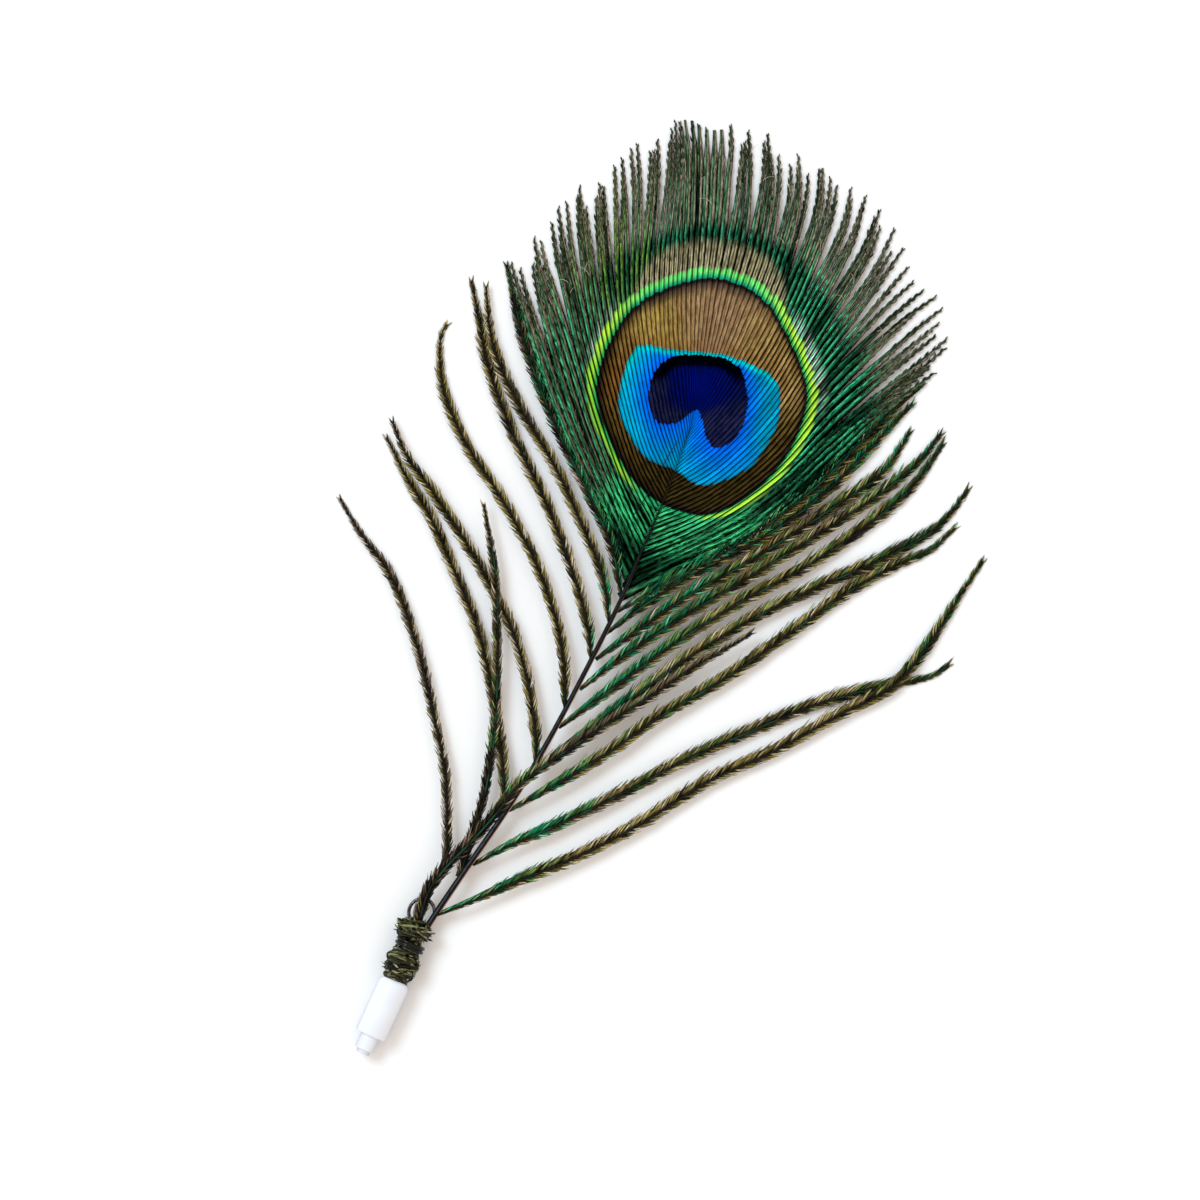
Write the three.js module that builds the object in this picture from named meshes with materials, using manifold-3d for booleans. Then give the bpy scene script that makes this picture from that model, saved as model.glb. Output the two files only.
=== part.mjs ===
// A trimmed peacock eye feather tied to a small plug, lying on a flat surface.
// Millimetres, +Z up, and the feather rests on the plane z = 0.
// +Y runs along the plug towards the feather's tip, and +X is to the right seen from above.
// The origin is on the surface, under the middle of the whole feather.
import * as THREE from "three";
import { mergeVertices } from "three/addons/utils/BufferGeometryUtils.js";
import Module from "manifold-3d";

const wasm = await Module();
wasm.setup();

// ---------------------------------------------------------------- driving dimensions

const PLUG_RADIUS = 3.25;
const PLUG_LENGTH = 12.4;
const PLUG_DOME_RADIUS = 1.7; // rounding of the end that meets the binding
const PLUG_EDGE_RADIUS = 0.35; // rounding of the shoulder's edge
const PLUG_BORE_RADIUS = 1.1; // the blind hole that the shaft's foot stands in
const PLUG_BORE_DEPTH = 6;
const STUB_RADIUS = 2.0;
const STUB_LENGTH = 3.2;
const NUB_RADIUS = 1.4;
const NUB_LENGTH = 0.8;

const SHAFT_RADII = [0.72, 0.7, 0.62, 0.56, 0.5, 0.42, 0.32, 0.24, 0.16, 0.1];
const SHAFT_HEIGHTS = [3.25, 3.4, 3.8, 4.1, 4.1, 3.9, 3.5, 3.0, 2.6, 2.35];

const RING_RADIUS = 2.55; // the loop of wire over the binding
const RING_WIRE = 0.25;
const RING_HEIGHT = 2.3;
const BAND_RADIUS = 2.75; // the turn of wire round the binding's waist
const BAND_WIRE = 0.35;

const BINDING_HEIGHT = 3.5; // height of the binding's axis
const BINDING_SQUASH = 0.92; // its height over its width
// Distance along the binding, from the plug up, and the radius there.
const BINDING_PROFILE = [
  [0, 2.3],
  [0.9, 2.9],
  [2.2, 3.3],
  [3.8, 3.55],
  [5.2, 3.3],
  [6.5, 2.85],
  [7.8, 2.35],
  [9.2, 2.3],
  [10.2, 2.9],
  [11.2, 3.45],
  [12.4, 3.3],
  [13.4, 2.6],
  [14, 1.9],
];

const BARB_WIDTH = 2.2;
const BARB_TIP = 0.25; // width at the tip over the full width
const BARB_THICKNESS = 0.6;
const BARB_TIP_THICKNESS = 0.4;
const BARB_ROLL = THREE.MathUtils.degToRad(14); // barbs overlap like slats
const BARB_HEIGHTS = [3.9, 3.3, 2.4, 1.3, 0.3]; // from the shaft out to the tip

const LOCK_THICKNESS = 0.8;
const LOCK_TIP_THICKNESS = 0.48;
const LOCK_TIP = 0.45; // width of a fringe lock at its tip
const LOCK_OVERLAP = 1.3; // width of a lock over the distance to the next one
const LOCK_COUNT = 44;
const LOCK_ROOT = 0.35; // least width of a lock, at its root
const VANE_HEIGHTS = [2.5, 2.9, 2.9, 2.5, 1.6, 0.35];
const FRINGE_START = 0.62; // share of a lock's length where the fringe opens
const FRINGE_UNEVENNESS = 0.018; // share of a lock's length
const FRINGE_RHYTHM = 2.4; // step of the wave that sets one tip's reach from the next

const CLEARANCE = 0.3; // gap between pieces that touch

// ---------------------------------------------------------------- the plan

// The plan is drawn on a ruled sheet: x to the right, y down the sheet, one unit to SHEET_UNIT.
// On it the plug leans over to the right by SHEET_LEAN, and its shoulder is at PLUG_SEAT.
const SHEET_UNIT = 0.2;
const SHEET_LEAN = THREE.MathUtils.degToRad(24.6);
const PLUG_SEAT = [370.7, 1034.9];

const SHAFT_PLAN = [
  [385.3, 1003],
  [395.8, 980],
  [428, 926],
  [460, 878],
  [508, 808],
  [545, 747],
  [583, 676],
  [617, 608],
  [645, 543],
  [662, 504],
  [675, 471],
  [692, 424],
];
const BINDING_FOOT = [394.5, 984];
const BINDING_HEAD = [419, 916];
const RING_CENTRE = [421.5, 912.5];
const BAND_CENTRE = [410, 945];

// Loose barbs, each from its root on the shaft to its tip. Heights are given where a barb
// passes over or under another.
const LOOSE_BARBS = {
  left_barb_1: {
    plan: [
      [415, 922], [425, 897], [444, 866], [447, 821], [445, 774],
      [432, 707], [413, 634], [390, 575], [360, 533], [339, 498],
    ],
    heights: [3.7, 4.0, 3.3, 2.8, 2.2, 1.6, 1.0, 0.3],
    width: 1.9,
  },
  left_barb_2: {
    plan: [
      [502, 806], [504, 785], [499, 735], [490, 680], [477, 628],
      [455, 573], [431, 519], [406, 476], [386, 437],
    ],
    heights: [3.9, 2.6, 2.0, 1.5, 1.0, 0.3],
  },
  left_barb_3: {
    plan: [
      [535, 764], [536, 745], [529, 688], [515, 638], [498, 600],
      [469, 548], [433, 492], [408, 458], [392, 421],
    ],
    heights: [3.9, 3.2, 2.5, 2.2, 2.2, 1.7],
  },
  left_barb_4: {
    plan: [
      [460, 877], [471, 840], [483, 802], [494, 740],
      [497, 693], [498, 626], [495, 568], [484, 504],
    ],
    heights: [3.7, 3.5, 3.8, 3.8, 3.7, 3.6, 3.5, 2.9],
    width: 1.7,
  },
  left_barb_5: {
    plan: [
      [565, 709], [564, 662], [554, 613], [534, 559], [503, 501],
      [462, 436], [442, 382], [441, 334], [447, 324],
    ],
  },
  left_barb_6: {
    plan: [
      [591, 659], [588, 628], [573, 573], [545, 501],
      [514, 436], [487, 362], [480, 324], [471, 280],
    ],
    heights: [3.7, 3.0, 2.0, 1.1, 0.3],
  },
  left_barb_7: {
    plan: [
      [609, 622], [603, 578], [583, 527], [554, 465],
      [521, 409], [496, 355], [489, 325], [486, 286],
    ],
    heights: [3.5, 3.1, 2.6, 2.1, 1.5],
  },
  right_barb_1: {
    plan: [
      [437, 915], [478, 899], [519, 881], [579, 856], [637, 826], [708, 782],
      [775, 751], [840, 715], [891, 688], [924, 652], [961, 596], [984, 561],
    ],
    heights: [3.7, 3.3, 2.8, 2.3, 2.0, 2.0, 1.2, 0.3],
  },
  right_barb_2: {
    plan: [
      [473, 865], [501, 850], [558, 825], [616, 797], [685, 761],
      [743, 735], [811, 707], [873, 689], [934, 676], [950, 665],
    ],
    heights: [3.9, 3.0, 2.2, 1.5, 0.8, 0.3],
  },
  right_barb_3: {
    plan: [
      [509, 811], [540, 794], [605, 755], [660, 717], [723, 680],
      [791, 633], [852, 590], [899, 565], [930, 551], [956, 528],
    ],
  },
  crossing_barb: {
    plan: [
      [419, 922], [430, 889], [449, 864], [472, 841], [495, 815], [520, 785],
      [550, 762], [598, 730], [648, 698], [698, 665], [732, 645], [752, 633],
    ],
    heights: [4.7, 5.0, 4.6, 4.9, 5.1, 5.0, 4.5, 4.0, 3.6, 3.2],
    width: 1.8,
    tip: 0.7,
  },
  right_barb_4: {
    plan: [
      [543, 763], [590, 730], [640, 693], [690, 657], [757, 617],
      [821, 586], [883, 559], [936, 529], [961, 502], [969, 489],
    ],
  },
  right_barb_5: {
    plan: [
      [559, 728], [607, 693], [673, 645], [740, 603],
      [801, 570], [863, 529], [914, 486], [944, 444],
    ],
  },
  right_barb_6: {
    plan: [
      [580, 690], [623, 657], [690, 613], [757, 573],
      [821, 533], [883, 492], [920, 461], [942, 434],
    ],
    heights: [3.7, 3.3, 2.6, 1.7, 0.8],
  },
  right_barb_7: {
    plan: [
      [596, 660], [640, 629], [690, 595], [740, 567],
      [801, 529], [842, 502], [883, 473], [911, 432],
    ],
    heights: [3.5, 2.9, 2.1, 1.2, 0.4],
  },
};

// Guide lines of the dense vane round the eye, from the lowest left barb over the top to the
// lowest right one. Each runs from its root on the shaft to its tip.
const VANE_GUIDES = [
  [[621, 592], [611, 545], [590, 497], [563, 442], [528, 358], [514, 316], [501, 267]],
  [[629, 575], [607, 523], [581, 462], [553, 393], [531, 322], [521, 288], [511, 250]],
  [[637, 557], [614, 508], [586, 442], [562, 372], [541, 305], [533, 277], [527, 239]],
  [[645, 543], [622, 495], [597, 430], [576, 360], [557, 292], [547, 262], [541, 233]],
  [[652, 528], [629, 482], [606, 418], [587, 348], [572, 280], [566, 248], [561, 202]],
  [[659, 510], [637, 468], [617, 405], [600, 335], [589, 265], [585, 230], [581, 185]],
  [[665, 495], [644, 452], [627, 390], [614, 320], [606, 250], [604, 215], [603, 179]],
  [[671, 479], [652, 435], [638, 372], [628, 303], [627, 232], [627, 198], [624, 152]],
  [[677, 463], [663, 418], [652, 355], [646, 285], [651, 215], [653, 180], [652, 136]],
  [[684, 445], [674, 392], [667, 325], [668, 255], [673, 185], [673, 155], [671, 119]],
  [[690, 425], [686, 370], [683, 300], [686, 230], [688, 160], [687, 140], [684, 118]],
  [[694, 412], [697, 350], [702, 280], [708, 210], [711, 145], [711, 135], [711, 122]],
  [[694, 412], [706, 360], [719, 290], [732, 220], [738, 165], [739, 145], [738, 126]],
  [[693, 418], [716, 370], [739, 311], [760, 250], [770, 190], [771, 165], [769, 135]],
  [[689, 432], [719, 389], [753, 330], [780, 268], [797, 208], [800, 185], [799, 150]],
  [[683, 450], [720, 410], [764, 353], [796, 292], [820, 232], [828, 205], [831, 169]],
  [[676, 468], [718, 438], [768, 383], [807, 320], [841, 260], [855, 232], [867, 191]],
  [[669, 485], [717, 459], [773, 408], [816, 346], [856, 288], [874, 257], [891, 213]],
  [[661, 504], [712, 481], [773, 435], [820, 375], [868, 320], [893, 292], [922, 262]],
  [[654, 522], [712, 496], [776, 455], [828, 400], [885, 346], [912, 322], [943, 300]],
  [[645, 545], [705, 517], [776, 477], [835, 424], [898, 376], [923, 356], [947, 334]],
  [[630, 583], [700, 545], [775, 500], [840, 444], [898, 393], [925, 373], [951, 352]],
  [[620, 609], [676, 571], [740, 533], [805, 487], [862, 436], [908, 399], [950, 372]],
  [[609, 632], [681, 581], [740, 543], [800, 500], [850, 461], [890, 425], [926, 392]],
];

// A sheet point in millimetres, in the frame of the plug: its axis is the line x = 0, and its
// shoulder is at y = 0.
function onSheet([sheetX, sheetY], height = 0) {
  const right = (sheetX - PLUG_SEAT[0]) * SHEET_UNIT;
  const down = (sheetY - PLUG_SEAT[1]) * SHEET_UNIT;
  const cos = Math.cos(SHEET_LEAN);
  const sin = Math.sin(SHEET_LEAN);
  return new THREE.Vector3(right * cos + down * sin, right * sin - down * cos, height);
}

// ---------------------------------------------------------------- solids

const UP = new THREE.Vector3(0, 0, 1);

function curveThrough(plan) {
  return new THREE.CatmullRomCurve3(plan.map((point) => onSheet(point)));
}

// The value at share t along evenly spaced values, on a smooth line through them.
function along(values, t) {
  const line = new THREE.CatmullRomCurve3(
    values.map((value, i) => new THREE.Vector3(i, value, 0)),
    false,
    "catmullrom",
  );
  return line.getPoint(t).y;
}

// A closed bar: the rings of an upright cylinder are laid on the stations in turn. A station
// has a point, the direction of travel, a width, a thickness and a roll about its direction.
function bar(stations, sides) {
  const last = stations.length - 1;
  const geometry = new THREE.CylinderGeometry(1, 1, 1, sides, last);
  const position = geometry.getAttribute("position");
  const vertex = new THREE.Vector3();
  for (let i = 0; i < position.count; i++) {
    vertex.fromBufferAttribute(position, i);
    const station = stations[Math.round((vertex.y + 0.5) * last)];
    const across = new THREE.Vector3().crossVectors(station.ahead, UP).normalize();
    const over = new THREE.Vector3().crossVectors(across, station.ahead).normalize();
    across.applyAxisAngle(station.ahead, station.roll);
    over.applyAxisAngle(station.ahead, station.roll);
    const placed = station.point
      .clone()
      .addScaledVector(across, (vertex.x * station.width) / 2)
      .addScaledVector(over, (vertex.z * station.thickness) / 2);
    position.setXYZ(i, placed.x, placed.y, placed.z);
  }
  return geometry;
}

// The stations of a bar through points. shape(t, i) gives the section at share t of the way.
// A bar that makes room for another is longer by extra at both ends.
function stationsAlong(points, shape, extra = 0) {
  const last = points.length - 1;
  const stations = points.map((point, i) => {
    const before = points[Math.max(i - 1, 0)];
    const after = points[Math.min(i + 1, last)];
    const ahead = new THREE.Vector3().subVectors(after, before).normalize();
    return { point: point.clone(), ahead, ...shape(i / last, i) };
  });
  stations[0].point.addScaledVector(stations[0].ahead, -extra);
  stations[last].point.addScaledVector(stations[last].ahead, extra);
  return stations;
}

// Geometry to a manifold-3d solid, and back.
function solidOf(geometry) {
  const bare = geometry.clone();
  bare.deleteAttribute("normal");
  bare.deleteAttribute("uv");
  const merged = mergeVertices(bare);
  return new wasm.Manifold(
    new wasm.Mesh({
      numProp: 3,
      vertProperties: merged.getAttribute("position").array,
      triVerts: new Uint32Array(merged.index.array),
    }),
  );
}

function geometryOf(solid) {
  const mesh = solid.getMesh();
  const geometry = new THREE.BufferGeometry();
  geometry.setAttribute("position", new THREE.BufferAttribute(mesh.vertProperties, 3));
  geometry.setIndex(new THREE.BufferAttribute(mesh.triVerts, 1));
  geometry.computeVertexNormals();
  return geometry;
}

// Cuts the tools out of a solid and keeps the largest body that is left.
function trimmed(solid, tools) {
  const cut = tools.reduce((left, tool) => left.subtract(tool), solid);
  return cut.decompose().reduce((a, b) => (a.volume() > b.volume() ? a : b));
}

function namedMesh(name, geometry, color, roughness) {
  const material = new THREE.MeshStandardMaterial({ color, roughness, metalness: 0 });
  const mesh = new THREE.Mesh(geometry, material);
  mesh.name = name;
  return mesh;
}

// ---------------------------------------------------------------- plug

const PLUG_SIDES = 28;
const CORNER_STEPS = 3;

// Points of a quarter round from angle a to angle b about a centre.
function roundCorner(x, y, radius, a, b) {
  const points = [];
  for (let i = 0; i <= CORNER_STEPS; i++) {
    const angle = THREE.MathUtils.lerp(a, b, i / CORNER_STEPS);
    points.push(new THREE.Vector2(x + radius * Math.cos(angle), y + radius * Math.sin(angle)));
  }
  return points;
}

function plugProfile() {
  const dome = PLUG_DOME_RADIUS;
  const edge = PLUG_EDGE_RADIUS;
  return [
    new THREE.Vector2(0, -STUB_LENGTH - NUB_LENGTH),
    new THREE.Vector2(NUB_RADIUS, -STUB_LENGTH - NUB_LENGTH),
    new THREE.Vector2(NUB_RADIUS, -STUB_LENGTH),
    new THREE.Vector2(STUB_RADIUS, -STUB_LENGTH),
    new THREE.Vector2(STUB_RADIUS, 0),
    ...roundCorner(PLUG_RADIUS - edge, edge, edge, -Math.PI / 2, 0),
    ...roundCorner(PLUG_RADIUS - dome, PLUG_LENGTH - dome, dome, 0, Math.PI / 2),
  ];
}

function plugGeometry() {
  const bore = [
    new THREE.Vector2(PLUG_BORE_RADIUS, PLUG_LENGTH),
    new THREE.Vector2(PLUG_BORE_RADIUS, PLUG_LENGTH - PLUG_BORE_DEPTH),
    new THREE.Vector2(0, PLUG_LENGTH - PLUG_BORE_DEPTH),
  ];
  const profile = [...plugProfile(), ...bore];
  return new THREE.LatheGeometry(profile, PLUG_SIDES).translate(0, 0, PLUG_RADIUS);
}

// The room that the plug takes up in the binding, with the clearance.
function plugRoomGeometry() {
  const profile = [...plugProfile(), new THREE.Vector2(0, PLUG_LENGTH)];
  return new THREE.LatheGeometry(profile, PLUG_SIDES).translate(0, CLEARANCE, PLUG_RADIUS);
}

// ---------------------------------------------------------------- shaft

const SHAFT_STEPS = 26;
const SHAFT_SIDES = 6;

function shaftGeometry(extra) {
  const points = curveThrough(SHAFT_PLAN).getSpacedPoints(SHAFT_STEPS);
  points.forEach((point, i) => (point.z = along(SHAFT_HEIGHTS, i / SHAFT_STEPS)));
  const section = (t) => {
    const across = 2 * (along(SHAFT_RADII, t) + extra);
    return { width: across, thickness: across, roll: 0 };
  };
  return bar(stationsAlong(points, section, extra), SHAFT_SIDES);
}

// ---------------------------------------------------------------- barbs

const BARB_STEPS = 11;
const BARB_SIDES = 4;
const ROOT_SHARE = 0.4; // width at the root over the full width
const ROOT_REACH = 0.14; // share of the length over which a barb widens
const TIP_REACH = 0.35; // share of the length over which it narrows to its tip

function barbStations(barb, extra) {
  const { smoothstep, lerp } = THREE.MathUtils;
  const heights = barb.heights ?? BARB_HEIGHTS;
  const width = barb.width ?? BARB_WIDTH;
  const tip = barb.tip ?? BARB_TIP;
  const points = curveThrough(barb.plan).getSpacedPoints(BARB_STEPS);
  points.forEach((point, i) => (point.z = along(heights, i / BARB_STEPS)));
  const section = (t) => {
    const opened = lerp(ROOT_SHARE, 1, smoothstep(t, 0, ROOT_REACH));
    const closed = lerp(1, tip, smoothstep(t, 1 - TIP_REACH, 1));
    return {
      width: width * opened * closed + 2 * extra,
      thickness: lerp(BARB_TIP_THICKNESS, BARB_THICKNESS, closed) + 2 * extra,
      roll: BARB_ROLL * closed,
    };
  };
  return stationsAlong(points, section, extra);
}

function barbSolid(barb, extra = 0) {
  return solidOf(bar(barbStations(barb, extra), BARB_SIDES));
}

// ---------------------------------------------------------------- vane

const VANE_STEPS = 6;
const LOCK_SIDES = 4;

const guideLines = VANE_GUIDES.map((plan) => curveThrough(plan).getSpacedPoints(VANE_STEPS));

// A point of the vane: station i on the line at place u, counted in guide lines.
function vanePoint(u, i) {
  const low = Math.min(Math.floor(u), guideLines.length - 2);
  return guideLines[low][i].clone().lerp(guideLines[low + 1][i], u - low);
}

// The distance from a lock to the next one, square to the lock.
function lockSpacing(u, i, ahead) {
  const last = guideLines.length - 1;
  const half = last / (LOCK_COUNT - 1) / 2;
  const from = vanePoint(THREE.MathUtils.clamp(u - half, 0, last - 2 * half), i);
  const to = vanePoint(THREE.MathUtils.clamp(u + half, 2 * half, last), i);
  return to.sub(from).cross(ahead).length();
}

function lockSolid(u, index) {
  const { smoothstep, lerp } = THREE.MathUtils;
  const points = [];
  for (let i = 0; i <= VANE_STEPS; i++) points.push(vanePoint(u, i));
  const reach = 1 - FRINGE_UNEVENNESS * (1 + Math.sin(index * FRINGE_RHYTHM));
  points[VANE_STEPS].lerp(points[VANE_STEPS - 1], (1 - reach) * VANE_STEPS);
  points.forEach((point, i) => (point.z = along(VANE_HEIGHTS, i / VANE_STEPS)));
  const section = (t, i) => {
    const flat = new THREE.Vector3().subVectors(
      points[Math.min(i + 1, VANE_STEPS)],
      points[Math.max(i - 1, 0)],
    );
    const spacing = lockSpacing(u, i, flat.setZ(0).normalize());
    const closed = smoothstep(t, FRINGE_START, 1);
    return {
      width: lerp(Math.max(spacing * LOCK_OVERLAP, LOCK_ROOT), LOCK_TIP, closed),
      thickness: lerp(LOCK_THICKNESS, LOCK_TIP_THICKNESS, closed),
      roll: 0,
    };
  };
  return solidOf(bar(stationsAlong(points, section), LOCK_SIDES));
}

function vaneSolid() {
  const locks = [];
  for (let i = 0; i < LOCK_COUNT; i++) {
    locks.push(lockSolid((i / (LOCK_COUNT - 1)) * (guideLines.length - 1), i));
  }
  return wasm.Manifold.union(locks);
}

// ---------------------------------------------------------------- binding and wire

const BINDING_SIDES = 12;
const BINDING_TURNS = 7; // wound turns over its length, seen as ridges
const BINDING_RIDGE = 0.08; // height of a ridge over the radius

const bindingAxis = new THREE.Vector3().subVectors(onSheet(BINDING_HEAD), onSheet(BINDING_FOOT));

function bindingSolid() {
  const foot = onSheet(BINDING_FOOT, BINDING_HEIGHT);
  const ahead = bindingAxis.clone().normalize();
  const across = new THREE.Vector3().crossVectors(ahead, UP);
  const length = BINDING_PROFILE.at(-1)[0];
  const geometry = new THREE.LatheGeometry(
    [
      new THREE.Vector2(0, 0),
      ...BINDING_PROFILE.map(([y, radius]) => new THREE.Vector2(radius, y)),
      new THREE.Vector2(0, length),
    ],
    BINDING_SIDES,
  );
  const position = geometry.getAttribute("position");
  for (let i = 0; i < position.count; i++) {
    const x = position.getX(i);
    const y = position.getY(i);
    const z = position.getZ(i);
    const turn = Math.atan2(z, x) + (y / length) * BINDING_TURNS * 2 * Math.PI;
    const swell = 1 + BINDING_RIDGE * Math.cos(turn);
    const placed = foot
      .clone()
      .addScaledVector(ahead, y)
      .addScaledVector(across, x * swell)
      .addScaledVector(UP, z * swell * BINDING_SQUASH);
    position.setXYZ(i, placed.x, placed.y, placed.z);
  }
  return solidOf(geometry);
}

const WIRE_SIDES = 6;
const WIRE_STEPS = 22;

function ringGeometry(extra) {
  return new THREE.TorusGeometry(RING_RADIUS, RING_WIRE + extra, WIRE_SIDES, WIRE_STEPS).translate(
    ...onSheet(RING_CENTRE, RING_HEIGHT).toArray(),
  );
}

function bandGeometry(extra) {
  const facing = new THREE.Quaternion().setFromUnitVectors(UP, bindingAxis.clone().normalize());
  return new THREE.TorusGeometry(BAND_RADIUS, BAND_WIRE + extra, WIRE_SIDES, WIRE_STEPS)
    .applyQuaternion(facing)
    .translate(...onSheet(BAND_CENTRE, BINDING_HEIGHT).toArray());
}

// ---------------------------------------------------------------- assembly

const feather = new THREE.Group();
feather.name = "peacock_feather";

const shaftRoom = solidOf(shaftGeometry(CLEARANCE));
const ringRoom = solidOf(ringGeometry(CLEARANCE));
const bandRoom = solidOf(bandGeometry(CLEARANCE));
const plugRoom = solidOf(plugRoomGeometry());
const tied = [LOOSE_BARBS.left_barb_1, LOOSE_BARBS.crossing_barb];
const tiedRoom = tied.map((barb) => barbSolid(barb, CLEARANCE));

feather.add(namedMesh("plug", plugGeometry(), 0xeef0f5, 0.35));
feather.add(namedMesh("shaft", shaftGeometry(0), 0x1c1d20, 0.4));

const binding = trimmed(bindingSolid(), [shaftRoom, ringRoom, bandRoom, plugRoom, ...tiedRoom]);
feather.add(namedMesh("binding", geometryOf(binding), 0x2f2e18, 0.7));
feather.add(namedMesh("wire_ring", ringGeometry(0), 0x2a2622, 0.3));
feather.add(namedMesh("wire_band", bandGeometry(0), 0x101113, 0.25));

for (const [name, barb] of Object.entries(LOOSE_BARBS)) {
  const solid = trimmed(barbSolid(barb), [shaftRoom, ringRoom]);
  feather.add(namedMesh(name, geometryOf(solid), 0x4b4a2a, 0.75));
}

const vane = trimmed(vaneSolid(), [shaftRoom]);
feather.add(namedMesh("eye_vane", geometryOf(vane), 0x1f5a3c, 0.5));

feather.updateMatrixWorld(true);
const extent = new THREE.Box3().setFromObject(feather);
const middle = extent.getCenter(new THREE.Vector3());
feather.position.set(-middle.x, -middle.y, -extent.min.z);

export default feather;
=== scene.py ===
"""A trimmed peacock eye feather tied to a small white plug, lying on a pale floor."""
import collections
import functools
import math

import bmesh
import bpy
import numpy as np
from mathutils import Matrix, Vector


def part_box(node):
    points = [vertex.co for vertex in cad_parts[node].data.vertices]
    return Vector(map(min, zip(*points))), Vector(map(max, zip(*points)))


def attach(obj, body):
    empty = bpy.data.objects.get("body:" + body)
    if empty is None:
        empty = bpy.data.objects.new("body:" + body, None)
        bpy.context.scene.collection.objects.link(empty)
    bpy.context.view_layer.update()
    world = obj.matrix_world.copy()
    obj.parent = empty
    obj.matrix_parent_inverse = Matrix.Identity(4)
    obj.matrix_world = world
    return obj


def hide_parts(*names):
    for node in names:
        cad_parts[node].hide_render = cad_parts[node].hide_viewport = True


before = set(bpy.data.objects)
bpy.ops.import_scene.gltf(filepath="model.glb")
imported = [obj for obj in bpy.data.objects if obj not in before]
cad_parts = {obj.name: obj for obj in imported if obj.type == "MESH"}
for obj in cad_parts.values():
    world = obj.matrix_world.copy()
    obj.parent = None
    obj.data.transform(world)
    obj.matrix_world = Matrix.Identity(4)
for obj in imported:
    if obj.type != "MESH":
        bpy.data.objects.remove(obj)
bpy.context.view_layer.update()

rng = np.random.default_rng(11)
UP = np.array([0.0, 0.0, 1.0])
MM = 0.001  # every length below is in millimetres until its mesh is made

# ------------------------------------------------------------------ the sheet

# The feather is drawn on a ruled sheet: x to the right, y down, one unit to SHEET_UNIT. On it
# the plug leans over by SHEET_LEAN, and the plug's shoulder is at PLUG_SEAT.
SHEET_UNIT = 0.2
SHEET_LEAN = math.radians(24.6)
PLUG_SEAT = np.array([370.7, 1034.9])
SHEET_MIDDLE = (600, 600)
SHEET_WIDTH = 240.0

plug_low, plug_high = (np.array(end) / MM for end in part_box("plug"))
STUB_LENGTH = 3.2
NUB_LENGTH = 0.8
PLUG_FOOT = np.array([(plug_low[0] + plug_high[0]) / 2, plug_low[1] + STUB_LENGTH + NUB_LENGTH])
LEAN_COS = math.cos(SHEET_LEAN)
LEAN_SIN = math.sin(SHEET_LEAN)


def on_sheet(plan):
    """Sheet points as x, y in the part's frame."""
    right, down = np.moveaxis((np.asarray(plan, float) - PLUG_SEAT) * SHEET_UNIT, -1, 0)
    x = right * LEAN_COS + down * LEAN_SIN
    y = right * LEAN_SIN - down * LEAN_COS
    return np.stack([x, y], -1) + PLUG_FOOT


def to_sheet(points):
    """The way back from the part's frame to the sheet."""
    x, y = np.moveaxis(np.asarray(points, float)[..., :2] - PLUG_FOOT, -1, 0)
    right = x * LEAN_COS + y * LEAN_SIN
    down = x * LEAN_SIN - y * LEAN_COS
    return np.stack([right, down], -1) / SHEET_UNIT + PLUG_SEAT


# ------------------------------------------------------------------ the plan of the feather

SHAFT_PLAN = [
    (385.3, 1003), (395.8, 980), (428, 926), (460, 878), (508, 808), (545, 747),
    (583, 676), (617, 608), (645, 543), (662, 504), (675, 471), (692, 424),
]
SHAFT_RADII = [0.72, 0.7, 0.66, 0.62, 0.58, 0.54, 0.5, 0.33, 0.09, 0.05]
SHAFT_HEIGHTS = [3.25, 3.4, 3.8, 4.1, 4.1, 3.9, 3.5, 3.1, 3.0, 3.1]
HAIR_PLAN = [(621, 533), (649, 492), (665, 462), (677, 441)]
HAIR_HEIGHTS = [2.2, 3.15, 3.2, 3.15]
HAIR_RADIUS = 0.07

BINDING_FOOT = (394.5, 984)
BINDING_HEAD = (419, 916)
BINDING_HEIGHT = 3.5
BINDING_SQUASH = 0.92
BINDING_PROFILE = [
    (0, 1.7), (0.9, 2.3), (2.2, 2.8), (3.8, 3.3), (5.2, 3.2), (6.5, 2.75), (7.8, 2.3),
    (9.2, 2.25), (10.2, 2.8), (11.2, 3.3), (12.4, 3.1), (13.4, 2.4), (14, 1.6),
]
RING_CENTRE = (421.5, 912.5)
RING_RADIUS = 2.55
RING_STRETCH = 1.08
RING_ACROSS = (10, 3)  # the way across the ring on the sheet
RING_BACK = (3, -10)
RING_WIRE = 0.36
RING_HEIGHT = 2.3
BAND_CENTRE = (410, 945)
BAND_RADIUS = 2.75
BAND_WIRE = 0.38
BAND_TURNS = [(-0.42, 0.10), (0.0, -0.05), (0.4, 0.12)]  # each turn's place on the binding and lean

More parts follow.
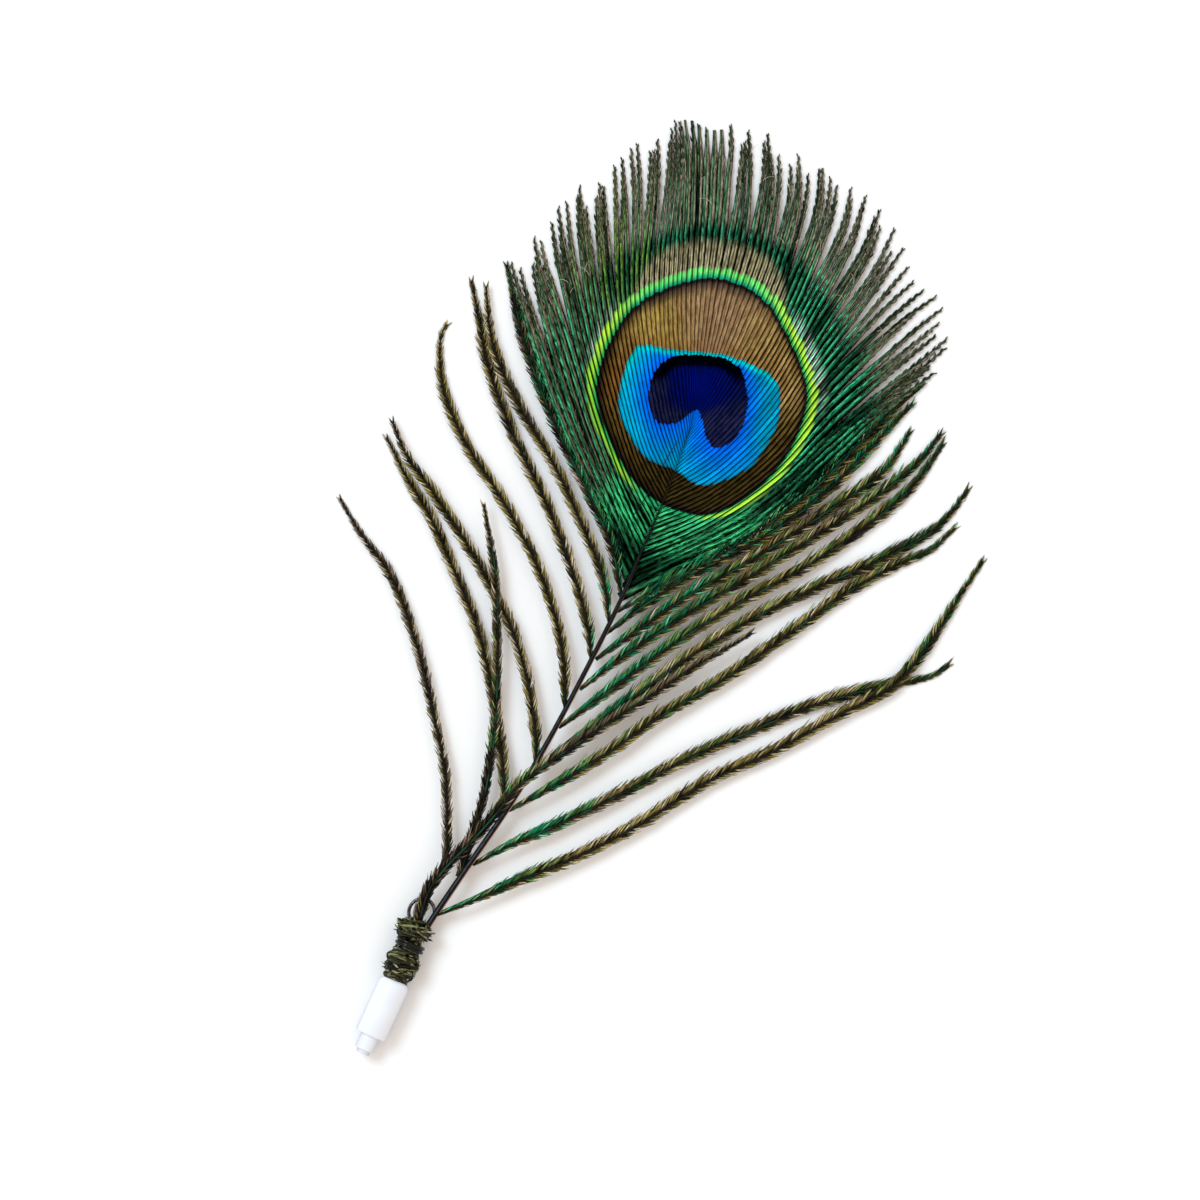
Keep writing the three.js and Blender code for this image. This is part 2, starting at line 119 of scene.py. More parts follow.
# A loose barb's plan runs from its root to its tip. green is how far its inner row shines
# green near the root, and dull is how grey its barbules are.
BARB_HEIGHTS = [3.9, 3.3, 2.4, 1.3, 0.3]
LOOSE_BARBS = {
    "left_barb_1": dict(
        plan=[(415, 922), (425, 897), (444, 866), (447, 821), (445, 774),
              (432, 707), (413, 634), (390, 575), (360, 533), (339, 498)],
        heights=[3.7, 4.0, 3.3, 2.8, 2.2, 1.6, 1.0, 0.3], width=0.86, green=0.0, bare=0.14,
        dull=0.75),
    "left_barb_2": dict(
        plan=[(502, 806), (504, 785), (499, 735), (490, 680), (477, 628),
              (455, 573), (431, 519), (406, 476), (386, 437)],
        heights=[3.9, 2.6, 2.0, 1.5, 1.0, 0.3], green=0.08, dull=0.2),
    "left_barb_3": dict(
        plan=[(535, 764), (536, 745), (529, 688), (515, 638), (498, 600),
              (469, 548), (433, 492), (408, 458), (392, 421)],
        heights=[3.9, 3.2, 2.5, 2.2, 2.2, 1.7], green=0.08, dull=0.3),
    "left_barb_4": dict(
        plan=[(460, 877), (471, 840), (483, 802), (494, 740),
              (497, 693), (498, 626), (495, 568), (484, 504)],
        heights=[3.7, 3.5, 3.8, 3.8, 3.7, 3.6, 3.5, 2.9], width=0.72, green=0.6, bare=0.35, dull=0.7),
    "left_barb_5": dict(
        plan=[(565, 709), (564, 662), (554, 613), (534, 559), (503, 501),
              (462, 436), (442, 382), (441, 334), (447, 324)],
        green=0.05, dull=0.1),
    "left_barb_6": dict(
        plan=[(591, 659), (588, 628), (573, 573), (545, 501),
              (514, 436), (487, 362), (480, 324), (471, 280)],
        heights=[3.7, 3.0, 2.0, 1.1, 0.3], green=0.12, dull=0.25),
    "left_barb_7": dict(
        plan=[(609, 622), (603, 578), (583, 527), (554, 465),
              (521, 409), (496, 355), (489, 325), (486, 286)],
        heights=[3.5, 3.1, 2.6, 2.1, 1.5], green=0.2, dull=0.3),
    "right_barb_1": dict(
        plan=[(437, 915), (478, 899), (519, 881), (579, 856), (637, 826), (708, 782),
              (775, 751), (840, 715), (891, 688), (924, 652), (961, 596), (984, 561)],
        heights=[3.7, 3.3, 2.8, 2.3, 2.0, 2.0, 1.2, 0.3], green=0.22, tip_green=0.6, dull=0.1),
    "right_barb_2": dict(
        plan=[(473, 865), (501, 850), (558, 825), (616, 797), (685, 761),
              (743, 735), (811, 707), (873, 689), (934, 676), (950, 665)],
        heights=[3.9, 3.0, 2.2, 1.5, 0.8, 0.3], green=0.36, tip_green=0.45, dull=0.35),
    "right_barb_3": dict(
        plan=[(509, 811), (540, 794), (605, 755), (660, 717), (723, 680),
              (791, 633), (852, 590), (899, 565), (930, 551), (956, 528)],
        green=0.3, tip_green=0.45, dull=0.1),
    "crossing_barb": dict(
        plan=[(419, 922), (430, 889), (449, 864), (472, 841), (495, 815), (520, 785),
              (550, 762), (598, 730), (648, 698), (698, 665), (732, 645), (752, 633)],
        heights=[4.7, 5.0, 4.6, 4.9, 5.1, 5.0, 4.5, 4.0, 3.6, 3.2],
        width=0.9, green=0.5, bare=0.34, dull=0.8),
    "right_barb_4": dict(
        plan=[(543, 763), (590, 730), (640, 693), (690, 657), (757, 617),
              (821, 586), (883, 559), (936, 529), (961, 502), (969, 489)],
        green=0.42, tip_green=0.6, dull=0.25),
    "right_barb_5": dict(
        plan=[(559, 728), (607, 693), (673, 645), (740, 603),
              (801, 570), (863, 529), (914, 486), (944, 444)],
        green=0.5, tip_green=0.75, dull=0.25),
    "right_barb_6": dict(
        plan=[(580, 690), (623, 657), (690, 613), (757, 573),
              (821, 533), (883, 492), (920, 461), (942, 434)],
        heights=[3.7, 3.3, 2.6, 1.7, 0.8], green=0.56, tip_green=0.75, dull=0.3),
    "right_barb_7": dict(
        plan=[(596, 660), (640, 629), (690, 595), (740, 567),
              (801, 529), (842, 502), (883, 473), (911, 432)],
        heights=[3.5, 2.9, 2.1, 1.2, 0.4], green=0.62, tip_green=0.75, dull=0.3),
}

# Guide lines of the dense vane, from the lowest left barb over the top to the lowest right one.
VANE_GUIDES = [
    [(621, 592), (611, 545), (590, 497), (563, 442), (528, 358), (514, 316), (501, 267)],
    [(629, 575), (607, 523), (581, 462), (553, 393), (531, 322), (521, 288), (511, 250)],
    [(637, 557), (614, 508), (586, 442), (562, 372), (541, 305), (533, 277), (527, 239)],
    [(645, 543), (622, 495), (597, 430), (576, 360), (557, 292), (547, 262), (541, 233)],
    [(652, 528), (629, 482), (606, 418), (587, 348), (572, 280), (566, 248), (561, 202)],
    [(659, 510), (637, 468), (617, 405), (600, 335), (589, 265), (585, 230), (581, 185)],
    [(665, 495), (644, 452), (627, 390), (614, 320), (606, 250), (604, 215), (603, 179)],
    [(671, 479), (652, 435), (638, 372), (628, 303), (627, 232), (627, 198), (624, 152)],
    [(677, 463), (663, 418), (652, 355), (646, 285), (651, 215), (653, 180), (652, 136)],
    [(684, 445), (674, 392), (667, 325), (668, 255), (673, 185), (673, 155), (671, 119)],
    [(690, 425), (686, 370), (683, 300), (686, 230), (688, 160), (687, 140), (684, 118)],
    [(694, 412), (697, 350), (702, 280), (708, 210), (711, 145), (711, 135), (711, 122)],
    [(694, 412), (706, 360), (719, 290), (732, 220), (738, 165), (739, 145), (738, 126)],
    [(693, 419), (716, 371), (739, 311), (760, 250), (770, 190), (771, 165), (769, 135)],
    [(688, 437), (719, 393), (753, 332), (780, 268), (797, 208), (800, 185), (799, 150)],
    [(680, 457), (719, 417), (764, 356), (796, 292), (820, 232), (828, 205), (831, 169)],
    [(672, 478), (716, 445), (768, 387), (807, 320), (841, 260), (855, 232), (867, 191)],
    [(664, 499), (714, 471), (773, 413), (816, 346), (856, 288), (874, 257), (891, 213)],
    [(656, 519), (711, 494), (774, 440), (820, 375), (868, 320), (893, 292), (922, 262)],
    [(647, 540), (709, 512), (777, 462), (828, 400), (885, 346), (912, 322), (943, 300)],
    [(637, 562), (702, 533), (777, 484), (835, 429), (898, 376), (923, 356), (947, 334)],
    [(627, 586), (690, 555), (742, 531), (776, 506), (838, 450), (898, 394), (925, 373), (951, 352)],
    [(619, 609), (672, 580), (742, 541), (776, 518), (818, 484), (862, 442), (908, 401), (950, 371)],
    [(609, 632), (648, 603), (690, 576), (740, 550), (777, 529), (837, 483), (890, 430), (928, 391)],
]
VANE_HEIGHTS = [2.5, 2.9, 2.8, 2.1, 1.0, 0.3]
# Places between the guide lines where the fringe parts widely, counted in guide lines.
WIDE_PARTINGS = [
    1.45, 3.2, 4.35, 5.5, 6.3, 7.1, 7.7, 8.5, 11.9, 12.55, 13.4, 14.5, 15.4, 16.2, 17.0, 17.7, 18.4,
    19.1, 19.9]

# Closed outlines of the eye's fields.
BRONZE_OUTLINE = [
    (711, 278), (742, 286), (767, 303), (790, 341), (807, 393), (790, 450), (751, 494),
    (705, 515), (661, 504), (646, 494), (623, 466), (596, 393), (621, 322), (652, 295),
]
BLUE_OUTLINE = [
    (636, 347), (642, 345), (675, 350), (713, 353), (732, 357), (751, 364), (767, 372),
    (778, 385), (780, 393), (778, 422), (768, 443), (751, 466), (728, 479), (705, 485),
    (690, 481), (675, 470), (663, 466), (646, 458), (631, 439), (619, 412), (619, 393),
    (625, 366), (633, 351),
]
HEART_OUTLINE = [
    (694, 355), (676, 356), (663, 362), (652, 378), (648, 401), (652, 414), (660, 424),
    (679, 422), (687, 416), (697, 410), (702, 420), (707, 439), (713, 447), (720, 448),
    (732, 441), (742, 427), (747, 408), (747, 391), (742, 372), (732, 362), (713, 356),
]
EYE_CENTRE = np.array([701.0, 394.0])
# Bearing round the eye in degrees clockwise from the top, and the green ring's width there.
RING_WIDTHS = [
    (-180, 0.8), (-160, 1.0), (-135, 1.2), (-110, 1.8), (-90, 2.2), (-60, 2.3), (-30, 2.2),
    (0, 2.4), (45, 2.3), (70, 2.1), (90, 2.1), (110, 2.1), (135, 1.6), (160, 1.1), (180, 0.8),
]

# ------------------------------------------------------------------ lines and frames


def smooth(points, count, closed=False):
    """A smooth line through points, given as count points evenly spaced along it."""
    p = np.asarray(points, float)
    if closed:
        p = np.concatenate([p[-3:], p, p[:3]])
    knot = np.concatenate([[0], np.cumsum(np.sqrt(np.linalg.norm(np.diff(p, axis=0), axis=1)))])
    slope = np.gradient(p, knot, axis=0)
    first, last = (knot[3], knot[-3]) if closed else (0, knot[-1])
    where = np.linspace(first, last, 40 * len(p))
    k = np.clip(np.searchsorted(knot, where, side="right") - 1, 0, len(p) - 2)
    h = (knot[k + 1] - knot[k])[:, None]
    s = (where - knot[k])[:, None] / h
    line = (2 * s**3 - 3 * s**2 + 1) * p[k] + (s**3 - 2 * s**2 + s) * h * slope[k]
    line += (3 * s**2 - 2 * s**3) * p[k + 1] + (s**3 - s**2) * h * slope[k + 1]
    far = np.concatenate([[0], np.cumsum(np.linalg.norm(np.diff(line, axis=0), axis=1))])
    even = np.linspace(0, far[-1], count)
    return np.stack([np.interp(even, far, axis) for axis in line.T], -1)


def along(values, share):
    """The value at a share of the way along evenly spaced values, on a smooth line."""
    line = smooth(np.stack([np.arange(len(values)), values], -1), 20 * len(values))
    return np.interp(np.asarray(share) * (len(values) - 1), line[:, 0], line[:, 1])


def raised(plan, heights, count):
    """A plan as a line in space with its heights."""
    flat = smooth(on_sheet(plan), count)
    return np.column_stack([flat, along(heights, np.linspace(0, 1, count))])


def unit(v):
    return v / np.maximum(np.linalg.norm(v, axis=-1, keepdims=True), 1e-9)


def frames(lines, up=UP):
    """Ahead, left and over at each point of lines, shaped (..., points, 3)."""
    ahead = unit(np.gradient(lines, axis=-2))
    left = unit(np.cross(up, ahead))
    return ahead, left, np.cross(ahead, left)


def distances(lines):
    """The distance along each line from its start, shaped (..., points)."""
    steps = np.linalg.norm(np.diff(lines, axis=-2), axis=-1)
    return np.concatenate([np.zeros_like(steps[..., :1]), np.cumsum(steps, -1)], -1)


def smoothstep(low, high, x):
    s = np.clip((x - low) / (high - low), 0, 1)
    return s * s * (3 - 2 * s)


def drift(count, run, seed_count=1):
    """Smooth random values from -1 to 1, a new one each run places, in seed_count rows."""
    knots = rng.uniform(-1, 1, (seed_count, int(count / run) + 3))
    where = np.arange(count) / run
    return np.stack([np.interp(where, np.arange(knots.shape[1]), row) for row in knots])


# ------------------------------------------------------------------ templates and batches

Template = collections.namedtuple("Template", "verts corners sizes")


def template_of(bm):
    bm.verts.index_update()
    verts = np.array([v.co for v in bm.verts])
    faces = [[v.index for v in f.verts] for f in bm.faces]
    bm.free()
    return Template(verts, np.concatenate(faces), np.array([len(f) for f in faces]))


def rod_template(sides, steps):
    """A closed rod of radius 1, from z = 0 to z = 1."""
    bm = bmesh.new()
    bmesh.ops.create_cone(
        bm, cap_ends=True, cap_tris=False, segments=sides, radius1=1, radius2=1, depth=1)
    bmesh.ops.translate(bm, verts=bm.verts, vec=(0, 0, 0.5))
    upright = [e for e in bm.edges if abs(e.verts[0].co.z - e.verts[1].co.z) > 0.5]
    if steps > 1:
        bmesh.ops.subdivide_edges(bm, edges=upright, cuts=steps - 1, use_grid_fill=True)
    bmesh.ops.recalc_face_normals(bm, faces=bm.faces)
    return template_of(bm)


# Half of a barb's section, from its outer edge to the groove in its middle: left is 1.
ROW_SECTION = [(1.0, -0.5), (0.7, 0.6), (0.36, 0.75), (0.0, 0.1)]


def barb_template(steps):
    """A closed bar whose section is a barb's two rows of barbules with a groove between."""
    section = ROW_SECTION + [(-x, y) for x, y in ROW_SECTION[-2::-1]] + [(-0.4, -0.9), (0.4, -0.9)]
    rod = rod_template(len(section), steps)
    verts = rod.verts.copy()
    turn = np.arctan2(rod.verts[:, 1], rod.verts[:, 0]) / (2 * math.pi) * len(section)
    side = np.round(turn - turn.min()).astype(int) % len(section)
    verts[:, :2] = np.array(section)[side]
    return Template(verts, rod.corners, rod.sizes)


def swept(template, lines, width, thick, roll=0.0, up=UP):
    """Copies of a template laid along lines (copies, points, 3). Width and thick are half sizes."""
    steps = lines.shape[1] - 1
    _, left, over = frames(lines, up)
    k = np.round(template.verts[:, 2] * steps).astype(int)
    width = np.broadcast_to(width, lines.shape[:2])[:, k, None]
    thick = np.broadcast_to(thick, lines.shape[:2])[:, k, None]
    x = template.verts[:, 0, None] * width
    y = template.verts[:, 1, None] * thick
    roll = np.broadcast_to(roll, lines.shape[:2])[:, k, None]
    x, y = x * np.cos(roll) - y * np.sin(roll), x * np.sin(roll) + y * np.cos(roll)
    return lines[:, k] + left[:, k] * x + over[:, k] * y


def turned(template, foot, ahead, profile, squash=1.0):
    """A template turned to a profile of (distance, radius) stations along an axis."""
    distance, radius = np.array(profile).T
    k = np.round(template.verts[:, 2] * (len(profile) - 1)).astype(int)
    left = unit(np.cross(UP, ahead))
    places = foot + ahead * distance[k, None]
    places = places + left * (template.verts[:, 0] * radius[k])[:, None]
    return (places + UP * (template.verts[:, 1] * radius[k] * squash)[:, None])[None]


Batch = collections.namedtuple("Batch", "verts corners sizes values")


def batch(template, places, **values):
    """Copies of a template at places (copies, verts, 3), with three numbers for each vertex."""
    copies, count = places.shape[:2]
    corners = (template.corners + np.arange(copies)[:, None] * count).ravel()
    spread = {
        name: np.broadcast_to(value, (copies, count, 3)).reshape(-1, 3)
        for name, value in values.items()
    }
    return Batch(places.reshape(-1, 3), corners, np.tile(template.sizes, copies), spread)


FLOOR_GAP = 0.03


def piece(name, batches, material, nodes):
    """One object from batches. It rides on the body and replaces the nodes."""
    starts = np.cumsum([0] + [len(b.verts) for b in batches])
    verts = np.concatenate([b.verts for b in batches])
    verts[:, 2] = np.maximum(verts[:, 2], FLOOR_GAP)
    corners = np.concatenate([b.corners + start for b, start in zip(batches, starts)])
    sizes = np.concatenate([b.sizes for b in batches])
    mesh = bpy.data.meshes.new(name)
    mesh.vertices.add(len(verts))
    mesh.vertices.foreach_set("co", (verts * MM).astype(np.float32).ravel())
    mesh.loops.add(len(corners))
    mesh.loops.foreach_set("vertex_index", corners.astype(np.int32))
    mesh.polygons.add(len(sizes))
    mesh.polygons.foreach_set("loop_start", (np.cumsum(sizes) - sizes).astype(np.int32))
    mesh.polygons.foreach_set("use_smooth", np.ones(len(sizes), bool))
    mesh.update(calc_edges=True)
    for key in batches[0].values:
        values = np.concatenate([b.values[key] for b in batches]).astype(np.float32)
        mesh.attributes.new(key, "FLOAT_VECTOR", "POINT").data.foreach_set("vector", values.ravel())
    mesh.materials.append(material)
    shown = bpy.data.objects.new(name, mesh)
    return dressed(shown, nodes)


def dressed(shown, nodes):
    bpy.context.scene.collection.objects.link(shown)
    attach(shown, "root")
    if nodes:
        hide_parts(*nodes)
    return shown


# ------------------------------------------------------------------ nodes for materials


def rgb(red, green, blue):
    """A display colour, 0 to 255, as the linear colour that a socket holds."""
    share = np.array([red, green, blue]) / 255
    linear = np.where(share <= 0.04045, share / 12.92, ((share + 0.055) / 1.055) ** 2.4)
    return (*linear.tolist(), 1.0)


class Nodes:
    """Short calls that add nodes to a tree and hand back the socket they give."""

    def __init__(self, tree):
        self.tree = tree

    def add(self, kind, inputs=(), output=0, **settings):
        node = self.tree.nodes.new(kind)
        for key, value in settings.items():
            setattr(node, key, value)
        for key, value in dict(inputs).items():
            self.feed(node.inputs[key], value)
        return node.outputs[output]

    def feed(self, socket, value):
        if isinstance(value, bpy.types.NodeSocket):
            self.tree.links.new(value, socket)
        else:
            socket.default_value = value

    def math(self, operation, a, b=0.0, clamp=False):
        return self.add("ShaderNodeMath", {0: a, 1: b}, operation=operation, use_clamp=clamp)

    def both(self, *masks):
        """The product of masks, which is 1 only where all of them are."""
        return functools.reduce(functools.partial(self.math, "MULTIPLY"), masks)

    def either(self, a, b):
        return self.math("MAXIMUM", a, b)

    def plus(self, a, b):
        return self.math("ADD", a, b)

    def minus(self, a, b):
        return self.math("SUBTRACT", a, b)

    def rise(self, value, low, high, start=0.0, end=1.0):
        """start below low, end above high, and a smooth rise between."""
        inputs = {0: value, 1: low, 2: high, 3: start, 4: end}
        return self.add("ShaderNodeMapRange", inputs, interpolation_type="SMOOTHSTEP")

    def mix(self, share, a, b, blend="MIX"):
        inputs = {0: share, 6: a, 7: b}
        return self.add(
            "ShaderNodeMix", inputs, output=2, data_type="RGBA", blend_type=blend)

    def tint(self, share, name):
        """A colour between the two ends of one of the TINTS."""
        darker, lighter = TINTS[name]
        return self.mix(share, rgb(*darker), rgb(*lighter))

    def shaded(self, colour, shade):
        return self.mix(1.0, colour, shade, "MULTIPLY")

    def ramp(self, value, stops):
        node = self.tree.nodes.new("ShaderNodeValToRGB")
        self.feed(node.inputs[0], value)
        elements = node.color_ramp.elements
        while len(elements) < len(stops):
            elements.new(0.5)
        for element, (place, colour) in zip(elements, stops):
            element.position = place
            element.color = colour
        return node.outputs[0]

    def attribute(self, name):
        return self.add("ShaderNodeAttribute", attribute_name=name, output=1)

    def split(self, vector):
        """The three numbers of a vector."""
        node = self.tree.nodes.new("ShaderNodeSeparateXYZ")
        self.feed(node.inputs[0], vector)
        return node.outputs

    def object_place(self):
        return self.add("ShaderNodeTexCoord", output=3)

    def noise(self, vector, scale, detail=2.0):
        inputs = {"Vector": vector, "Scale": scale, "Detail": detail, "Roughness": 0.5}
        return self.add("ShaderNodeTexNoise", inputs)

    def speckle(self, fineness, detail=3.0):
        """Noise on Object coordinates, with fineness grains to the metre."""
        scaled = {"Vector": self.object_place(), "Scale": (fineness,) * 3}
        return self.noise(self.add("ShaderNodeMapping", scaled), 1.0, detail)

    def group(self, tree, inputs):
        """The outputs of a shader node group that is fed with inputs."""
        node = self.tree.nodes.new("ShaderNodeGroup")
        node.node_tree = tree
        for key, value in inputs.items():
            self.feed(node.inputs[key], value)
        return node.outputs

    def bump(self, shader, height, strength, distance):
        inputs = {"Strength": strength, "Distance": distance, "Height": height}
        self.feed(shader["Normal"], self.add("ShaderNodeBump", inputs))


def new_group(name, inputs, outputs):
    tree = bpy.data.node_groups.new(name, "ShaderNodeTree")
    for socket, kind in inputs:
        tree.interface.new_socket(socket, in_out="INPUT", socket_type=kind)
    for socket, kind in outputs:
        tree.interface.new_socket(socket, in_out="OUTPUT", socket_type=kind)
    nodes = Nodes(tree)
    given = tree.nodes.new("NodeGroupInput").outputs
    handed = tree.nodes.new("NodeGroupOutput").inputs
    return nodes, given, handed


def new_material(name, **settings):
    material = bpy.data.materials.new(name)
    material.use_nodes = True
    nodes = Nodes(material.node_tree)
    shader = material.node_tree.nodes["Principled BSDF"]
    for key, value in settings.items():
        shader.inputs[key.replace("_", " ")].default_value = value
    return material, nodes, shader.inputs


def grain_group():
    """Barbule grain: streaks along Lay, which holds millimetres across and along and a seed."""
    n, given, handed = new_group(
        "barbule_grain",
        [("Lay", "NodeSocketVector"), ("Streak", "NodeSocketVector"), ("Fleck", "NodeSocketVector")],
        [("Streaks", "NodeSocketFloat"), ("Flecks", "NodeSocketFloat")])
    streaks = n.add("ShaderNodeMapping", {"Vector": given["Lay"], "Scale": given["Streak"]})
    flecks = n.add("ShaderNodeMapping", {"Vector": given["Lay"], "Scale": given["Fleck"]})
    n.feed(handed["Streaks"], n.rise(n.noise(streaks, 1.0), 0.3, 0.7))
    n.feed(handed["Flecks"], n.rise(n.noise(flecks, 1.0, 3.0), 0.35, 0.7))
    return n.tree


# How often the streaks and the flecks repeat: in a millimetre across and along, and by seed.
VANE_GRAIN = ((2.0, 0.5, 1.0), (4.0, 0.9, 1.0))
VANE_BARBULE_GRAIN = ((4.0, 0.4, 1.0), (3.0, 0.8, 1.0))
HERL_GRAIN = ((2.2, 0.9, 1.0), (5.0, 2.4, 1.0))
BED_GRAIN = ((0.35, 1.6, 1.0), (1.5, 3.0, 1.0))
BINDING_GRAIN = ((9.0, 0.8, 1.0), (4.0, 2.0, 1.0))


def grain(nodes, tree, streak, fleck):
    """The streaks and flecks of the grain group, with their scales across, along and by seed."""
    made = nodes.group(tree, {"Lay": nodes.attribute("lay"), "Streak": streak, "Fleck": fleck})
    return made["Streaks"], made["Flecks"]


# Display colours, 0 to 255: the darker and the lighter end of each tint of the eye.
TINTS = dict(
    lobe=((14, 20, 56), (36, 38, 72)),
    gold=((90, 62, 24), (130, 94, 42)),
    copper=((138, 108, 76), (162, 130, 94)),
    right_gold=((132, 104, 56), (168, 136, 82)),
    brass=((128, 102, 46), (174, 146, 76)),
    bronze_foot=((52, 42, 17), (104, 84, 38)),
    ring_inside=((6, 158, 118), (30, 164, 80)),
    ring_outside=((104, 226, 110), (180, 240, 66)),
    ring_foot=((14, 150, 92), (60, 206, 126)),
    leaf=((30, 72, 46), (92, 136, 102)),
    left_leaf=((26, 84, 52), (126, 200, 146)),
    emerald=((3, 62, 38), (66, 182, 126)),
    top_emerald=((2, 48, 30), (58, 158, 114)),
    shaft_emerald=((2, 74, 42), (76, 236, 150)),
    yellow_green=((50, 92, 26), (140, 184, 62)),
    black_green=((2, 11, 7), (9, 42, 27)),
    brown=((92, 84, 66), (160, 148, 124)),
    left_brown=((68, 58, 46), (150, 132, 108)),
    olive_tip=((26, 36, 22), (88, 102, 68)),
    tan_tip=((84, 74, 60), (178, 164, 140)),
    khaki=((104, 100, 72), (168, 158, 122)),
    silver=((178, 222, 202), (204, 202, 194)),
)
# What the eye's colours are made from, each a number over the surface: distances outside the
# three outlines, the place round and across the ring, what the barb is like there, its grain,
# the place from the heart's centre, and masks of four zones.
EyeMap = collections.namedtuple(
    "EyeMap",
    "bronze blue heart sideways ring upper row tone fray streaks flecks x y "
    "out at_shaft near_ring lower_left")


def heart_colour(n, e):
    """Black under its upper edge, then deep blue, and brown-violet in its lobes."""
    middle = n.math("SQRT", n.plus(n.both(e.x, e.x), n.both(e.y, e.y)))
    navy = n.ramp(n.math("MULTIPLY", middle, 0.1, clamp=True), [
        (0.0, rgb(0, 15, 112)), (0.35, rgb(0, 12, 94)), (0.65, rgb(3, 12, 76)),
        (1.0, rgb(10, 18, 56))])
    right_lobe = n.both(n.rise(e.y, -2.0, -6.5), n.rise(middle, 4.5, 7.5))
    left_lobe = n.both(n.rise(e.x, -4.6, -7.4), n.rise(e.y, 3.0, 0.0))
    core = n.mix(n.either(right_lobe, left_lobe), navy, n.tint(e.streaks, "lobe"))
    crescent = n.both(n.rise(e.heart, -2.9, -1.7), n.rise(e.y, -1.2, 2.2))
    return n.mix(crescent, core, rgb(0, 1, 8))


def blue_colour(n, e):
    """Azure against the heart, cyan further out, and a green-cyan rim above."""
    spread = n.plus(e.y, n.both(n.math("ABSOLUTE", e.x), 0.8))
    outward = n.rise(spread, -6.0, 1.0, 0.11, 0.22)
    azure = n.ramp(n.math("MULTIPLY", e.heart, outward, clamp=True), [
        (0.0, rgb(0, 104, 255)), (0.3, rgb(0, 130, 252)), (0.65, rgb(0, 162, 240)),
        (1.0, rgb(0, 182, 228))])
    away = n.either(n.rise(e.sideways, 0.3, 0.85), n.rise(e.upper, -0.6, -1.0, 0.0, 0.6))
    azure = n.mix(n.both(away, n.rise(e.heart, 1.0, 3.2, 0.2, 0.5)), azure, rgb(0, 92, 112))
    rim = n.both(n.rise(e.blue, -1.7, -0.3), n.rise(e.upper, -0.1, 0.4))
    azure = n.mix(rim, azure, rgb(0, 216, 216))
    return n.mix(n.rise(e.blue, -0.7, 0.0, 0.0, 0.6), azure, rgb(0, 104, 130))


def bronze_colour(n, e):
    """Copper above and gold at the sides, darker towards its foot, with a dark outline."""
    field = n.mix(
        n.rise(e.sideways, -0.9, -0.1), n.tint(e.streaks, "gold"), n.tint(e.streaks, "copper"))
    field = n.mix(n.rise(e.sideways, 0.3, 0.8), field, n.tint(e.streaks, "right_gold"))
    upper_left = n.both(n.rise(e.upper, 0.25, 0.85), n.rise(e.sideways, 0.1, -0.6))
    field = n.mix(upper_left, field, n.tint(e.streaks, "brass"))
    field = n.mix(n.rise(e.upper, 0.1, -0.5), field, n.tint(e.streaks, "bronze_foot"))
    field = n.mix(n.rise(e.upper, -0.5, -0.95, 0.0, 0.6), field, rgb(26, 23, 10))
    reddish = n.both(n.rise(e.blue, 3.4, 0.2), n.rise(e.upper, -0.2, 0.3, 0.0, 0.35))
    field = n.mix(reddish, field, rgb(132, 84, 44))
    smoke = n.both(n.rise(e.bronze, -2.8, -0.6), n.rise(e.sideways, 0.2, -0.6, 0.35, 0.85))
    field = n.mix(smoke, field, rgb(40, 30, 18))
    haze = n.both(n.rise(e.bronze, -3.6, -0.7), n.rise(e.upper, 0.7, 0.95, 0.0, 0.75))
    field = n.mix(haze, field, rgb(58, 48, 44))
    return n.mix(n.rise(e.bronze, -1.2, -0.4, 0.0, 0.94), field, rgb(26, 20, 22))


def ring_colour(n, e):
    """Emerald inside and lime outside, more yellow at the eye's two sides."""
    sides = n.rise(e.upper, 0.93, 0.6)
    lime = n.mix(e.lower_left, n.tint(sides, "ring_outside"), rgb(156, 224, 58))
    band = n.mix(n.rise(e.ring, 0.05, 0.6), n.tint(sides, "ring_inside"), lime)
    from_foot = n.math("ABSOLUTE", n.plus(e.sideways, 0.3))
    at_foot = n.both(n.rise(from_foot, 0.42, 0.2), n.rise(e.upper, -0.6, -0.85))
    return n.mix(at_foot, band, n.tint(e.flecks, "ring_foot"))


